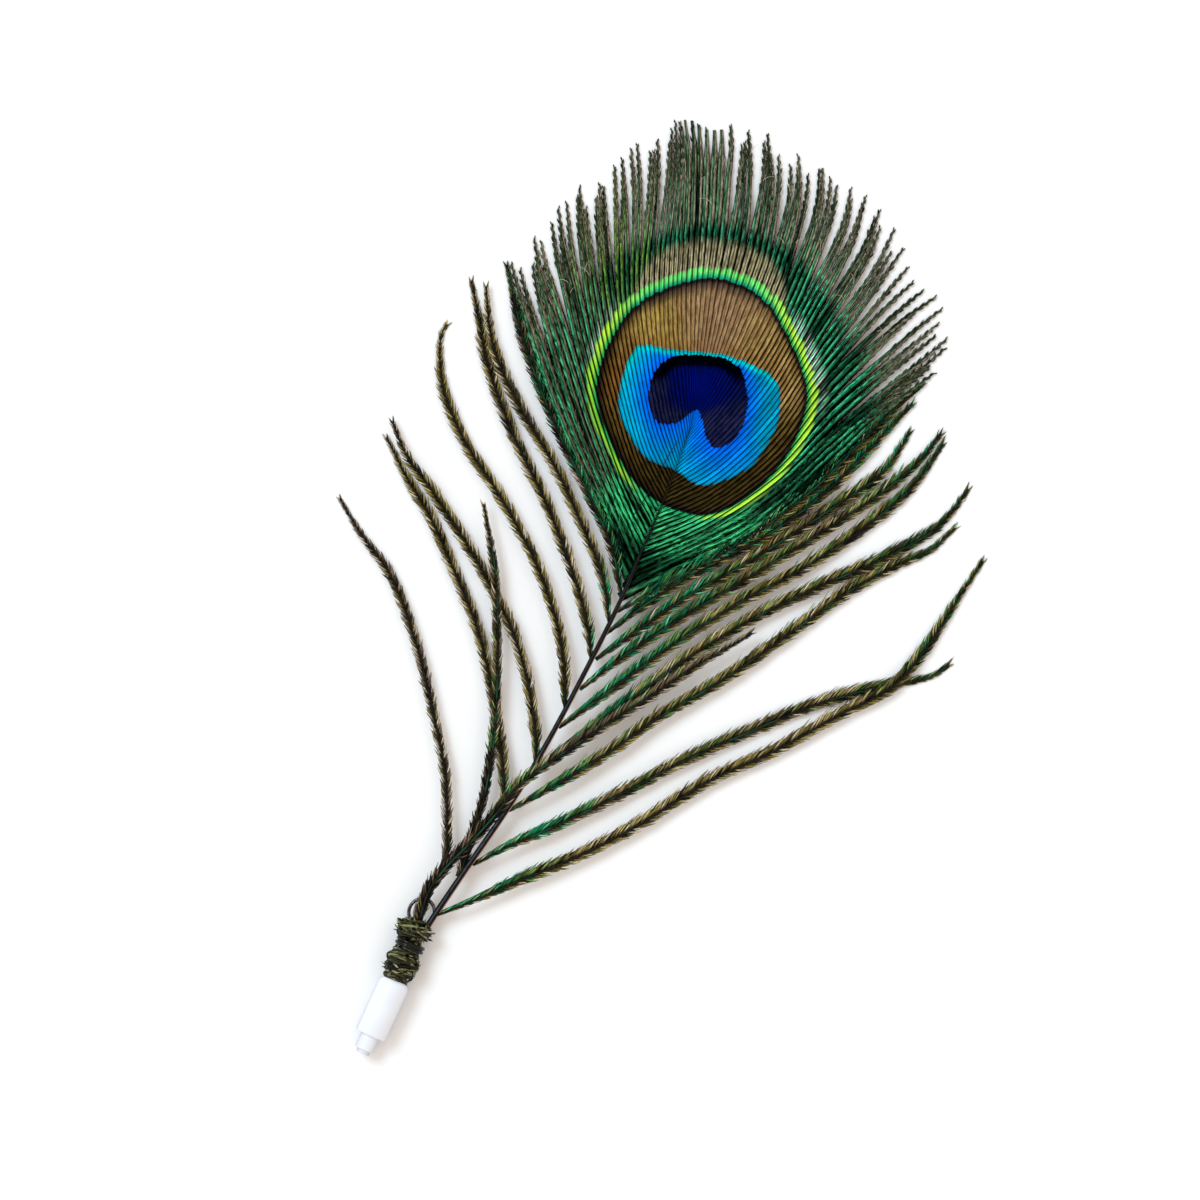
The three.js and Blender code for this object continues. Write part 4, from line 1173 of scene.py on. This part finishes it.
def make_vane(materials):
    lines, u, pitch = vane_lines()
    loose = (u < LOOSE_EDGES[0]) | (u > LOOSE_EDGES[1])
    for seed, number in enumerate(np.flatnonzero(loose)):
        look = RIGHT_EDGE_LOOK if u[number] > LOOSE_EDGES[1] else LEFT_EDGE_LOOK
        make_herl(f"vane_edge_{seed + 1}", lines[number] + UP * 0.1, look, 40 + seed,
                  ["eye_vane"], materials)
    lines, u, pitch = lines[~loose], u[~loose], pitch[~loose]

    share = np.linspace(0, 1, BARB_STATIONS)
    barbs = len(lines)
    close = close_tuft(u)
    start = FRINGE_START - 0.13 + rng.normal(0, 0.03, barbs) + 0.1 * smoothstep(6.0, 3.5, u)
    narrow = smoothstep(start[:, None], start[:, None] + 0.24, share) * (1 - 0.72 * close[:, None])
    widest = FRINGE_HALF_WIDTH - 0.52 * narrow
    width = np.minimum(pitch * BARB_FILL, widest) * (1 - 0.32 * narrow)
    width = width * (1 - 0.55 * smoothstep(0.86, 1.0, share))
    values = dict(
        bronze=signed_distance(to_sheet(lines), BRONZE_OUTLINE),
        shift=rng.normal(0, 0.13, (barbs, 2)),
        tone=np.clip(
            0.6 + 0.16 * rng.normal(0, 1, (barbs, 2, 1))
            + 0.25 * drift(BARB_STATIONS, 6, barbs * 2).reshape(barbs, 2, -1), 0, 1),
        roll=np.radians(rng.normal(0, 3, (barbs, 1))),
        width=width,
        close=close[:, None],
        ragged=smoothstep(19.6, 20.5, u) + smoothstep(3.0, 1.2, u),
    )
    template, places, extra = vane_strips(lines, share, width, values)
    thirds = np.array_split(np.arange(barbs), 3)
    for name, chosen in zip(("left", "top", "right"), thirds):
        part = {key: value[chosen] for key, value in extra.items()}
        piece(f"eye_barbs_{name}", [batch(template, places[chosen], **part)],
              materials["vane"], ["eye_vane"])
        piece(f"vane_barbules_{name}", [vane_blades(lines, values, chosen)],
              materials["vane_barbules"], ["eye_vane"])
    make_wisps(lines, materials)


# ------------------------------------------------------------------ loose barbs

HERL_STATIONS = 61
HERL_REACH = 3.1
HERL_CLUMP = 1.9  # barbules lean together in clumps of about this length
HERL_SLANT = 38  # degrees between a barbule and its quill on the left barbs
RIGHT_SLANTS = (37, 32)  # and on the upper and lower rows of the right ones
RIGHT_REACHES = (1.42, 1.02)  # how much longer their barbules are
BED_HALF_WIDTHS = (1.0, 0.62)  # of the right barbs and of the left ones
BED_HALF_THICKNESS = 0.16
QUILL_RADIUS = 0.22
QUILL_TAPER = 0.12
QUILL_RISE = 0.26  # how far the quill lies above its barbules
HERL_ROD = rod_template(6, HERL_STATIONS - 1)
BED_TEMPLATE = barb_template(HERL_STATIONS - 1)
# The barbules that show, and the finer ones in the shade under them, whose lower tone is painted
# shade.
SHOWN_ROW = dict(spacing=0.95, width=(0.22, 0.32), reach=1.0, tone=0.56, spread=1.2, under=0.0)
SHADE_ROW = dict(spacing=0.6, width=(0.1, 0.15), reach=0.95, tone=0.32, spread=1.5, under=0.2)


def leans_right(line):
    """Whether a barb points to the right on the sheet."""
    plan = to_sheet(line[[0, -1]])
    return plan[1, 0] > plan[0, 0]


def greenness(look, where):
    """How green a loose barb's inner row is at a share of its length."""
    if look["green"] == 0:
        return 0 * where
    bare = look.get("bare", 0.0)
    green = smoothstep(look["green"], look["green"] * 0.35, where)
    green = green * smoothstep(bare - 0.02, bare + 0.03, where)
    return np.maximum(green, look.get("tip_green", 0.0) * smoothstep(0.6, 0.88, where))


def herl_taper(look, right, where):
    """How far its barbules have opened from its root, how far they close again at its tip, and
    how dark its bare root is, at a share of a loose barb's length."""
    bare = look.get("bare", 0.0)
    opened = np.maximum(smoothstep(-0.04, 0.14 if right else 0.07, where), bare > 0)
    closed = smoothstep(1.0, 0.78, where)
    dark = smoothstep(bare + 0.04, bare - 0.1, where) * (bare > 0)
    return opened, closed, dark


def herl_blades(line, look, row, seed):
    """Both sides of a row of a loose barb's barbules, slanting towards its tip."""
    length = distances(line)[-1]
    count = int(length / row["spacing"])
    spots = []
    for side in (1, -1):
        spots.append(np.stack([jittered(count, 0.3, 0.7), np.full(count, side)], -1))
    where, side = np.concatenate(spots).T
    base, ahead, _ = footing(line[None], 0, where)
    total = len(where)
    run = where * length
    right = leans_right(line)
    upper = side > 0 if right else side < 0
    opened, closed, dark = herl_taper(look, right, where)
    clump = (run / HERL_CLUMP + 0.3 * side + 0.35 * np.sin(run * 0.55 + seed)) % 1
    steep = np.where(upper, *RIGHT_SLANTS) if right else HERL_SLANT
    angle = steep * (0.5 + 0.5 * opened) - 8 * (1 - closed) + 7 * (0.5 - clump)
    angle = angle + rng.normal(0, 2 * row["spread"], total) + rng.normal(0, 5, total) * dark
    reach = HERL_REACH * look.get("width", 1.0) * row["reach"] * (0.4 + 0.6 * opened)
    reach = reach * (0.5 + 0.5 * closed) * (1.08 - 0.22 * clump) * rng.uniform(0.9, 1.06, total)
    if right:
        reach = reach * np.where(upper, *RIGHT_REACHES)
    width = rng.uniform(*row["width"], total) * (0.75 + 0.25 * closed)
    lift = rng.uniform(-0.05, 0.15, total) * row["spread"]
    base = base + UP * (rng.uniform(-0.05, 0.05, total) - row["under"])[:, None]
    bend = rng.uniform(0.22, 0.42, total)
    places = blades(base, ahead, side, np.radians(angle), reach, width, lift, bend)
    tone = row["tone"] + 0.16 * drift(total, 9, 1)[0] + 0.3 * (0.5 - clump)
    tone = tone + rng.normal(0, 0.2, total) + np.where(upper == right, 0.05, -0.05)
    tone = tone - 0.3 * dark - look.get("shade", 0.0)
    tone = tone - 0.3 * look.get("tip_green", 0.0) * smoothstep(0.6, 0.9, where)
    strength = greenness(look, where)
    mixed = (0.45 if look["green"] > 0.25 else 0.0) * smoothstep(0.95, 0.5, where)
    chance = np.maximum(0.9 * strength, mixed) * np.where(upper, 1.0, 0.3) * (1 - dark)
    shining = rng.uniform(0, 1, total) < chance
    green = shining * rng.uniform(0.5, 1.0, total) * (0.45 + 0.55 * strength)
    dull = look["dull"] + 0.4 * drift(total, 5, 1)[0] + rng.normal(0, 0.12, total)
    kind = np.clip(np.stack([tone, green, dull], -1), 0, 1)[:, None]
    across, along_blade, lay = blade_values(side, width, run, reach, side * 5.7 + seed * 11.3)
    shape = np.stack([0.5 + 0 * across, along_blade, across], -1)
    return batch(BLADE, places, kind=kind, shape=shape, lay=lay)


def herl_bed(line, look, seed):
    """The barbules that lie closely beside a loose barb's quill, as one thin body."""
    share = np.linspace(0, 1, HERL_STATIONS)
    right = leans_right(line)
    opened, closed, dark = herl_taper(look, right, share)
    full = look.get("width", 1.0) * (0.3 + 0.7 * opened) * (0.35 + 0.65 * closed)
    width = BED_HALF_WIDTHS[0 if right else 1] * full
    _, left, _ = frames(line)
    shift = 0.3 * full if right else 0 * full
    middle = line + left * shift[:, None] - UP * 0.12
    places = swept(BED_TEMPLATE, middle[None], width[None], BED_HALF_THICKNESS * full[None])
    k = np.round(BED_TEMPLATE.verts[:, 2] * (HERL_STATIONS - 1)).astype(int)
    from_quill = BED_TEMPLATE.verts[:, 0] * width[k] + shift[k]
    upper = from_quill > 0 if right else from_quill < 0
    green = np.where(upper, greenness(look, share[k]), 0)
    run = distances(line)[k]
    # Painted shade: the bed's tone is lower than the shown barbules' because it lies under them; a
    # bare root is darker by its own colour.
    tone = 0.34 + 0.12 * drift(HERL_STATIONS, 3, 1)[0][k] - 0.2 * dark[k]
    kind = np.stack([tone, green, np.full(len(k), look["dull"])], -1)[None]
    edge = np.abs(from_quill)
    shape = np.stack([edge, 1 + 0 * edge, 0 * edge], -1)[None]
    lay = np.stack([from_quill, run - 2.1 * edge, seed * 11.3 + upper * 5.7], -1)[None]
    return batch(BED_TEMPLATE, places, kind=kind, shape=shape, lay=lay)


def make_herl(name, line, look, seed, nodes, materials):
    """A loose barb: its bed, its barbules and its quill."""
    rows = [herl_blades(line, look, row, seed) for row in (SHOWN_ROW, SHADE_ROW)]
    piece(f"{name}_barbules", rows, materials["herl"], nodes)
    piece(f"{name}_bed", [herl_bed(line, look, seed)], materials["herl_bed"], nodes)
    share = np.linspace(0, 1, HERL_STATIONS)
    radius = (QUILL_RADIUS - QUILL_TAPER * share)[None]
    places = swept(HERL_ROD, (line + UP * QUILL_RISE)[None], radius, radius * 0.8)
    sheen = 0.6 if look["green"] > 0.25 else 0.0
    kind = np.array([[[0.0, sheen, 0.0]]])
    piece(f"{name}_quill", [batch(HERL_ROD, places, kind=kind)], materials["quill"], [])


def make_loose_barbs(materials):
    for seed, (name, look) in enumerate(LOOSE_BARBS.items()):
        line = raised(look["plan"], look.get("heights", BARB_HEIGHTS), HERL_STATIONS)
        make_herl(name, line, look, seed, [name], materials)


# ------------------------------------------------------------------ shaft

SHAFT_STATIONS = 91


def make_shaft(materials):
    line = raised(SHAFT_PLAN, SHAFT_HEIGHTS, SHAFT_STATIONS)
    rod = rod_template(14, SHAFT_STATIONS - 1)
    radius = along(SHAFT_RADII, np.linspace(0, 1, SHAFT_STATIONS))
    places = swept(rod, line[None], radius[None], radius[None])
    sides = batch(rod, places, side=rod.verts[None])
    piece("shaft_quill", [sides], materials["shaft"], ["shaft"])


def make_eye_hair(materials):
    """A loose hair that lies over the eye's foot."""
    stations = 25
    line = raised(HAIR_PLAN, HAIR_HEIGHTS, stations)
    rod = rod_template(5, stations - 1)
    places = swept(rod, line[None], HAIR_RADIUS, HAIR_RADIUS)
    kind = np.zeros((1, 1, 3))
    piece("eye_hair", [batch(rod, places, kind=kind)], materials["quill"], [])


def shaft_material():
    """Charcoal horn, tan along its lower right side, with a painted blue-grey highlight band left of
    its middle and a fine lengthwise grain.
    """
    material, n, shader = new_material("shaft_horn", Roughness=0.3, Specular_IOR_Level=0.08)
    left, _, run = n.split(n.attribute("side"))
    grain_here = n.speckle(700)
    horn = n.mix(n.rise(grain_here, 0.35, 0.7), rgb(6, 7, 8), rgb(16, 19, 20))
    # Painted highlight: a blue-grey band left of the shaft's middle, fainter towards its tip.
    painted_highlight = n.both(
        n.rise(left, 0.62, 0.3), n.rise(left, -0.1, 0.2), n.rise(run, 0.75, 0.3, 0.1, 1.0),
        n.rise(grain_here, 0.3, 0.6, 0.2, 0.7))
    horn = n.mix(painted_highlight, horn, rgb(72, 80, 92))
    tan = n.both(n.rise(left, -0.6, -0.85), n.rise(run, 0.8, 0.5))
    n.feed(shader["Base Color"], n.mix(tan, horn, rgb(196, 146, 118)))
    n.bump(shader, grain_here, 0.2, 0.05 * MM)
    return material


# ------------------------------------------------------------------ binding and wire

BINDING_LIMIT = 7.05  # the binding's highest point above the floor
# Its strands: how many, how long, how far they tilt in degrees, how high they lie above the
# profile, their half widths, how far their ends curl out, and where they start from its foot.
WOUND = dict(count=250, length=(2.0, 5.0), tilt=17, lift=(-0.55, 0.15), width=(0.24, 0.46), curl=0.35)
STRAY = dict(count=30, length=(1.6, 3.2), tilt=45, lift=(-0.2, 0.1), width=(0.12, 0.24), curl=1.1)
COLLAR = dict(
    count=26, length=(1.8, 3.2), tilt=22, lift=(0.0, 0.2), width=(0.16, 0.32), curl=1.2,
    span=(10.2, 12.6))
STRAND_TURN = 3.0  # a strand this long goes round by one radian
CORE_DEPTH = 0.6  # how far the core lies under the profile


def binding_axis():
    foot = np.append(on_sheet(BINDING_FOOT), BINDING_HEIGHT)
    head = np.append(on_sheet(BINDING_HEAD), BINDING_HEIGHT)
    return foot, unit(head - foot)


def on_binding(distance, turn, lift):
    """Points round the binding, lift above its profile, and the way out from its axis."""
    foot, ahead = binding_axis()
    side = unit(np.cross(UP, ahead))
    profile = np.array(BINDING_PROFILE)
    radius = np.interp(distance, profile[:, 0], profile[:, 1]) + lift
    out = side * np.cos(turn)[..., None] + UP * (np.sin(turn) * BINDING_SQUASH)[..., None]
    return foot + ahead * distance[..., None] + out * radius[..., None], unit(out)


def leaf_strands(count, length, tilt, lift, width, curl, span=(0.3, 13.6)):
    """Flat strands wound round the binding, pointed at both ends."""
    stations = 9
    t = np.linspace(-0.5, 0.5, stations)
    start = rng.uniform(*span, (count, 1))
    turn = rng.uniform(-0.35, math.pi + 0.35, (count, 1))
    reach = rng.uniform(*length, (count, 1))
    slant = np.radians(rng.normal(0, tilt, (count, 1)))
    distance = np.clip(start + t * reach * np.sin(slant), 0, 14)
    turns = turn + t * reach * np.cos(slant) / STRAND_TURN
    raise_by = rng.uniform(*lift, (count, 1))
    ends = rng.uniform(0, curl, (count, 1)) * np.clip(t * 2, 0, 1) ** 2
    ends = ends + rng.uniform(0, curl, (count, 1)) * np.clip(-t * 2, 0, 1) ** 2
    points, out = on_binding(distance, turns, raise_by + ends)
    template = rod_template(5, stations - 1)
    swell = (1 - (2 * np.abs(t)) ** 2.2) ** 0.5
    half = rng.uniform(*width, (count, 1)) * (0.12 + 0.88 * swell)
    places = swept(template, points, half, half * 0.5, rng.normal(0, 0.45, (count, 1)), up=out)
    places[..., 2] = np.minimum(places[..., 2], BINDING_LIMIT)
    tone = rng.uniform(0, 1, (count, 1))
    across, _, reach_place = template.verts.T
    shape = np.stack(np.broadcast_arrays(across, reach_place, tone), -1)
    return batch(template, places, shape=shape, lay=shape * (0.3, 3, 50))


def make_binding(materials):
    foot, ahead = binding_axis()
    core = rod_template(32, len(BINDING_PROFILE) - 1)
    inner = [(distance, radius - CORE_DEPTH) for distance, radius in BINDING_PROFILE]
    places = turned(core, foot, ahead, inner, BINDING_SQUASH)
    # Painted shade: the core's place across is held at its dark end, so all of it is drawn in shade.
    shape = (core.verts[:, [0, 2, 1]] * (0, 1, 0) - (0.9, 0, 0))[None]  # in the shade all over
    body = batch(core, places, shape=shape, lay=shape * 5)
    strands = [leaf_strands(**kind) for kind in (WOUND, STRAY, COLLAR)]
    piece("wound_barbs", [body, *strands], materials["binding"], ["binding"])


def binding_material(grain_tree):
    """Olive barbs wound wet and pressed flat, with dark gaps and pale green edges: each strand
    carries painted shade from one edge to the other.
    """
    material, n, shader = new_material("wound_barb_olive", Roughness=0.4, Specular_IOR_Level=0.15)
    streaks, flecks = grain(n, grain_tree, *BINDING_GRAIN)
    across, _, tone = n.split(n.attribute("shape"))
    leaf = n.ramp(tone, [
        (0.0, rgb(20, 22, 9)), (0.3, rgb(54, 56, 26)), (0.65, rgb(98, 98, 54)),
        (0.9, rgb(150, 148, 98)), (1.0, rgb(214, 204, 168))])
    leaf = n.mix(n.both(streaks, 0.2), leaf, rgb(30, 48, 26))
    # Painted shade: each strand darkens towards one edge, and the core is held at that dark end.
    shade = n.both(n.rise(across, -0.75, 0.5, 0.03, 1.0), n.rise(flecks, 0.0, 1.0, 0.5, 1.15))
    n.feed(shader["Base Color"], n.shaded(leaf, shade))
    n.bump(shader, streaks, 0.4, 0.1 * MM)
    return material


def loop_mesh(name, rings):
    """Closed loops of wire. Each ring is its centre, normal, radii and wire radius."""
    bm = bmesh.new()
    for centre, side, out, radii, wire in rings:
        normal = side.cross(out).normalized()
        start = centre + side * radii[0]
        made = bmesh.ops.create_circle(bm, segments=12, radius=wire)
        for v in made["verts"]:
            local = v.co.copy()
            v.co = start + side * local.x + normal * local.y
        edges = [e for e in bm.edges if e.verts[0] in made["verts"]]
        bmesh.ops.spin(
            bm, geom=made["verts"] + edges, cent=centre, axis=normal, dvec=(0, 0, 0),
            angle=2 * math.pi, steps=72, use_merge=True)
        for v in bm.verts:
            if v.tag:
                continue
            v.tag = True
            away = v.co - centre
            share = radii[1] / radii[0]
            v.co += out * (away.dot(out) * (share - 1))
    bmesh.ops.recalc_face_normals(bm, faces=bm.faces)
    for face in bm.faces:
        face.smooth = True
    mesh = bpy.data.meshes.new(name)
    bm.to_mesh(mesh)
    bm.free()
    return mesh


def make_wire(materials):
    across, back = (
        Vector((*unit(on_sheet(way) - on_sheet((0, 0))), 0)) for way in (RING_ACROSS, RING_BACK))
    centre = Vector((*on_sheet(RING_CENTRE), RING_HEIGHT)) * MM
    ring = loop_mesh("wire_ring_loop", [
        (centre, across, back, (RING_RADIUS * MM, RING_RADIUS * RING_STRETCH * MM), RING_WIRE * MM)])
    ring.materials.append(materials["ring"])
    dressed(bpy.data.objects.new("wire_ring_loop", ring), ["wire_ring"])

    ahead = Vector(binding_axis()[1])
    turns = []
    for step, lean in BAND_TURNS:
        middle = Vector((*on_sheet(BAND_CENTRE), BINDING_HEIGHT)) + ahead * step
        side = (Vector(UP).cross(ahead) + ahead * lean).normalized()
        size = BAND_RADIUS - 0.12 * abs(step)
        radii = (size * MM, size * BINDING_SQUASH * MM)
        turns.append((middle * MM, side, Vector(UP), radii, BAND_WIRE * MM))
    band = loop_mesh("wire_band_turns", turns)
    band.materials.append(materials["wire"])
    dressed(bpy.data.objects.new("wire_band_turns", band), ["wire_band"])


def wire_material(name, dark, light, roughness, metallic):
    """Glossy wire with fine scuffs."""
    material, n, shader = new_material(name, Metallic=metallic, Specular_IOR_Level=0.25)
    scuff = n.speckle(1500, 4.0)
    n.feed(shader["Base Color"], n.mix(n.rise(scuff, 0.4, 0.75), dark, light))
    n.feed(shader["Roughness"], n.rise(scuff, 0.2, 0.8, roughness, roughness + 0.18))
    return material


# ------------------------------------------------------------------ plug

PLUG_RADIUS = 3.25
# Painted shade: from this height down to its middle the plug turns greyer, so its sides look darker
# from above.
PLUG_SHADE_BELOW = 5.36  # it gets greyer from this height down to its middle
PLUG_LENGTH = 12.4
PLUG_DOME_RADIUS = 1.7
PLUG_EDGE_RADIUS = 0.35
STUB_RADIUS = 2.0
NUB_RADIUS = 1.4
MOULD_EDGE = 0.18  # rounding of the stub's and the nub's edges


def corner(distance, radius, size, start, end, steps=5):
    """Profile points round a corner, from one angle to another in degrees."""
    angles = np.radians(np.linspace(start, end, steps))
    return [(distance + size * math.sin(a), radius + size * math.cos(a)) for a in angles]


def make_plug(materials):
    nub_end = -STUB_LENGTH - NUB_LENGTH
    edge, dome = PLUG_EDGE_RADIUS, PLUG_DOME_RADIUS
    profile = [
        *corner(nub_end + MOULD_EDGE, NUB_RADIUS - MOULD_EDGE, MOULD_EDGE, -90, 0),
        (-STUB_LENGTH, NUB_RADIUS),
        *corner(-STUB_LENGTH + MOULD_EDGE, STUB_RADIUS - MOULD_EDGE, MOULD_EDGE, -90, 0),
        (0, STUB_RADIUS),
        *corner(edge, PLUG_RADIUS - edge, edge, -90, 0),
        *corner(PLUG_LENGTH - dome, PLUG_RADIUS - dome, dome, 0, 90, 9),
    ]
    template = rod_template(64, len(profile) - 1)
    foot = np.append(PLUG_FOOT, PLUG_RADIUS)
    places = turned(template, foot, np.array([0.0, 1.0, 0.0]), profile)
    body = piece("plug_body", [batch(template, places)], materials["plug"], ["plug"])
    body.data.set_sharp_from_angle(angle=math.radians(50))


def plug_material():
    """Cool white moulded plastic, satin, with a faint haze of handling, and greyer towards its lower
    half: painted shade that darkens its sides as seen from above.
    """
    material, n, shader = new_material("plug_plastic", Roughness=0.42)
    haze = n.speckle(120, 4.0)
    white = n.mix(n.rise(haze, 0.35, 0.7), rgb(229, 233, 241), rgb(235, 238, 245))
    # Painted shade: greyer from the given height down to the plug's middle.
    height = n.split(n.object_place())[2]
    low = n.rise(height, PLUG_SHADE_BELOW * MM, PLUG_RADIUS * MM)
    n.feed(shader["Base Color"], n.mix(low, white, rgb(188, 190, 200)))
    n.feed(shader["Roughness"], n.rise(haze, 0.2, 0.8, 0.36, 0.5))
    n.bump(shader, n.speckle(2500, 2.0), 0.06, 0.04 * MM)
    return material


# ------------------------------------------------------------------ floor, light and camera

FLOOR_SIZE = 4.0
FLOOR_PALES = ((0.93, 0.93, 0.93, 1), (0.95, 0.95, 0.95, 1))
SKY_COLOUR = (1.0, 0.92, 0.85, 1)
SKY_STRENGTH = 0.92
LAMP_COLOUR = (0.78, 1.03, 1.23)
LAMP_STRENGTH = 1.25
LAMP_SPREAD = math.radians(26)
LAMP_SIDE = 100  # sheet units left of and above the middle, which gives the way to the lamp
LAMP_AWAY = 0.62
LAMP_HEIGHT = 0.8
CAMERA_HEIGHT = 1.2
SENSOR_WIDTH = 36
FEATHER_LEVEL = 3.0  # the height at which SHEET_WIDTH fills the frame


def make_floor():
    bm = bmesh.new()
    bmesh.ops.create_grid(bm, x_segments=1, y_segments=1, size=FLOOR_SIZE / 2)
    mesh = bpy.data.meshes.new("floor")
    bm.to_mesh(mesh)
    bm.free()
    material, n, shader = new_material("floor_paper", Roughness=0.9)
    n.feed(shader["Base Color"], n.mix(n.speckle(30), *FLOOR_PALES))
    mesh.materials.append(material)
    floor = bpy.data.objects.new("floor", mesh)
    bpy.context.scene.collection.objects.link(floor)


def make_light():
    scene = bpy.context.scene
    scene.view_settings.view_transform = "Standard"
    world = bpy.data.worlds.new("studio")
    world.use_nodes = True
    background = world.node_tree.nodes["Background"]
    background.inputs["Color"].default_value = SKY_COLOUR
    background.inputs["Strength"].default_value = SKY_STRENGTH
    scene.world = world
    lamp = bpy.data.lights.new("window", "SUN")
    lamp.angle = LAMP_SPREAD
    lamp.energy = LAMP_STRENGTH
    lamp.color = LAMP_COLOUR
    shown = bpy.data.objects.new("window", lamp)
    scene.collection.objects.link(shown)
    aim = Vector((*on_sheet(SHEET_MIDDLE) * MM, 0))
    towards = on_sheet([place - LAMP_SIDE for place in SHEET_MIDDLE]) * MM
    away = (Vector((*towards, 0)) - aim).normalized()
    shown.location = aim + away * LAMP_AWAY + Vector((0, 0, LAMP_HEIGHT))
    shown.rotation_euler = (aim - shown.location).to_track_quat("-Z", "Y").to_euler()


def make_camera():
    camera = bpy.data.cameras.new("camera")
    camera.sensor_width = SENSOR_WIDTH
    camera.lens = SENSOR_WIDTH * (CAMERA_HEIGHT - FEATHER_LEVEL * MM) / (SHEET_WIDTH * MM)
    camera.clip_end = 10
    shown = bpy.data.objects.new("camera", camera)
    bpy.context.scene.collection.objects.link(shown)
    shown.location = (*on_sheet(SHEET_MIDDLE) * MM, CAMERA_HEIGHT)
    shown.rotation_euler = (0, 0, SHEET_LEAN)
    bpy.context.scene.camera = shown


# ------------------------------------------------------------------ the whole feather

make_camera()
make_light()
make_floor()
barbule_grain = grain_group()
eye_colours = eye_group()
materials = dict(
    vane=vane_material("eye_barbs", barbule_grain, eye_colours, VANE_GRAIN, 0.42),
    vane_barbules=vane_material(
        "vane_barbules", barbule_grain, eye_colours, VANE_BARBULE_GRAIN, 0.5),
    herl=herl_material("loose_barbules", barbule_grain, HERL_GRAIN, laid=False),
    herl_bed=herl_material("laid_barbules", barbule_grain, BED_GRAIN, laid=True),
    quill=quill_material(),
    shaft=shaft_material(),
    binding=binding_material(barbule_grain),
    ring=wire_material("ring_wire", rgb(64, 58, 58), rgb(134, 132, 138), 0.2, 0.8),
    wire=wire_material("black_wire", rgb(1, 1, 2), rgb(5, 5, 8), 0.05, 0.0),
    plug=plug_material(),
)
make_vane(materials)
make_loose_barbs(materials)
make_shaft(materials)
make_eye_hair(materials)
make_binding(materials)
make_wire(materials)
make_plug(materials)
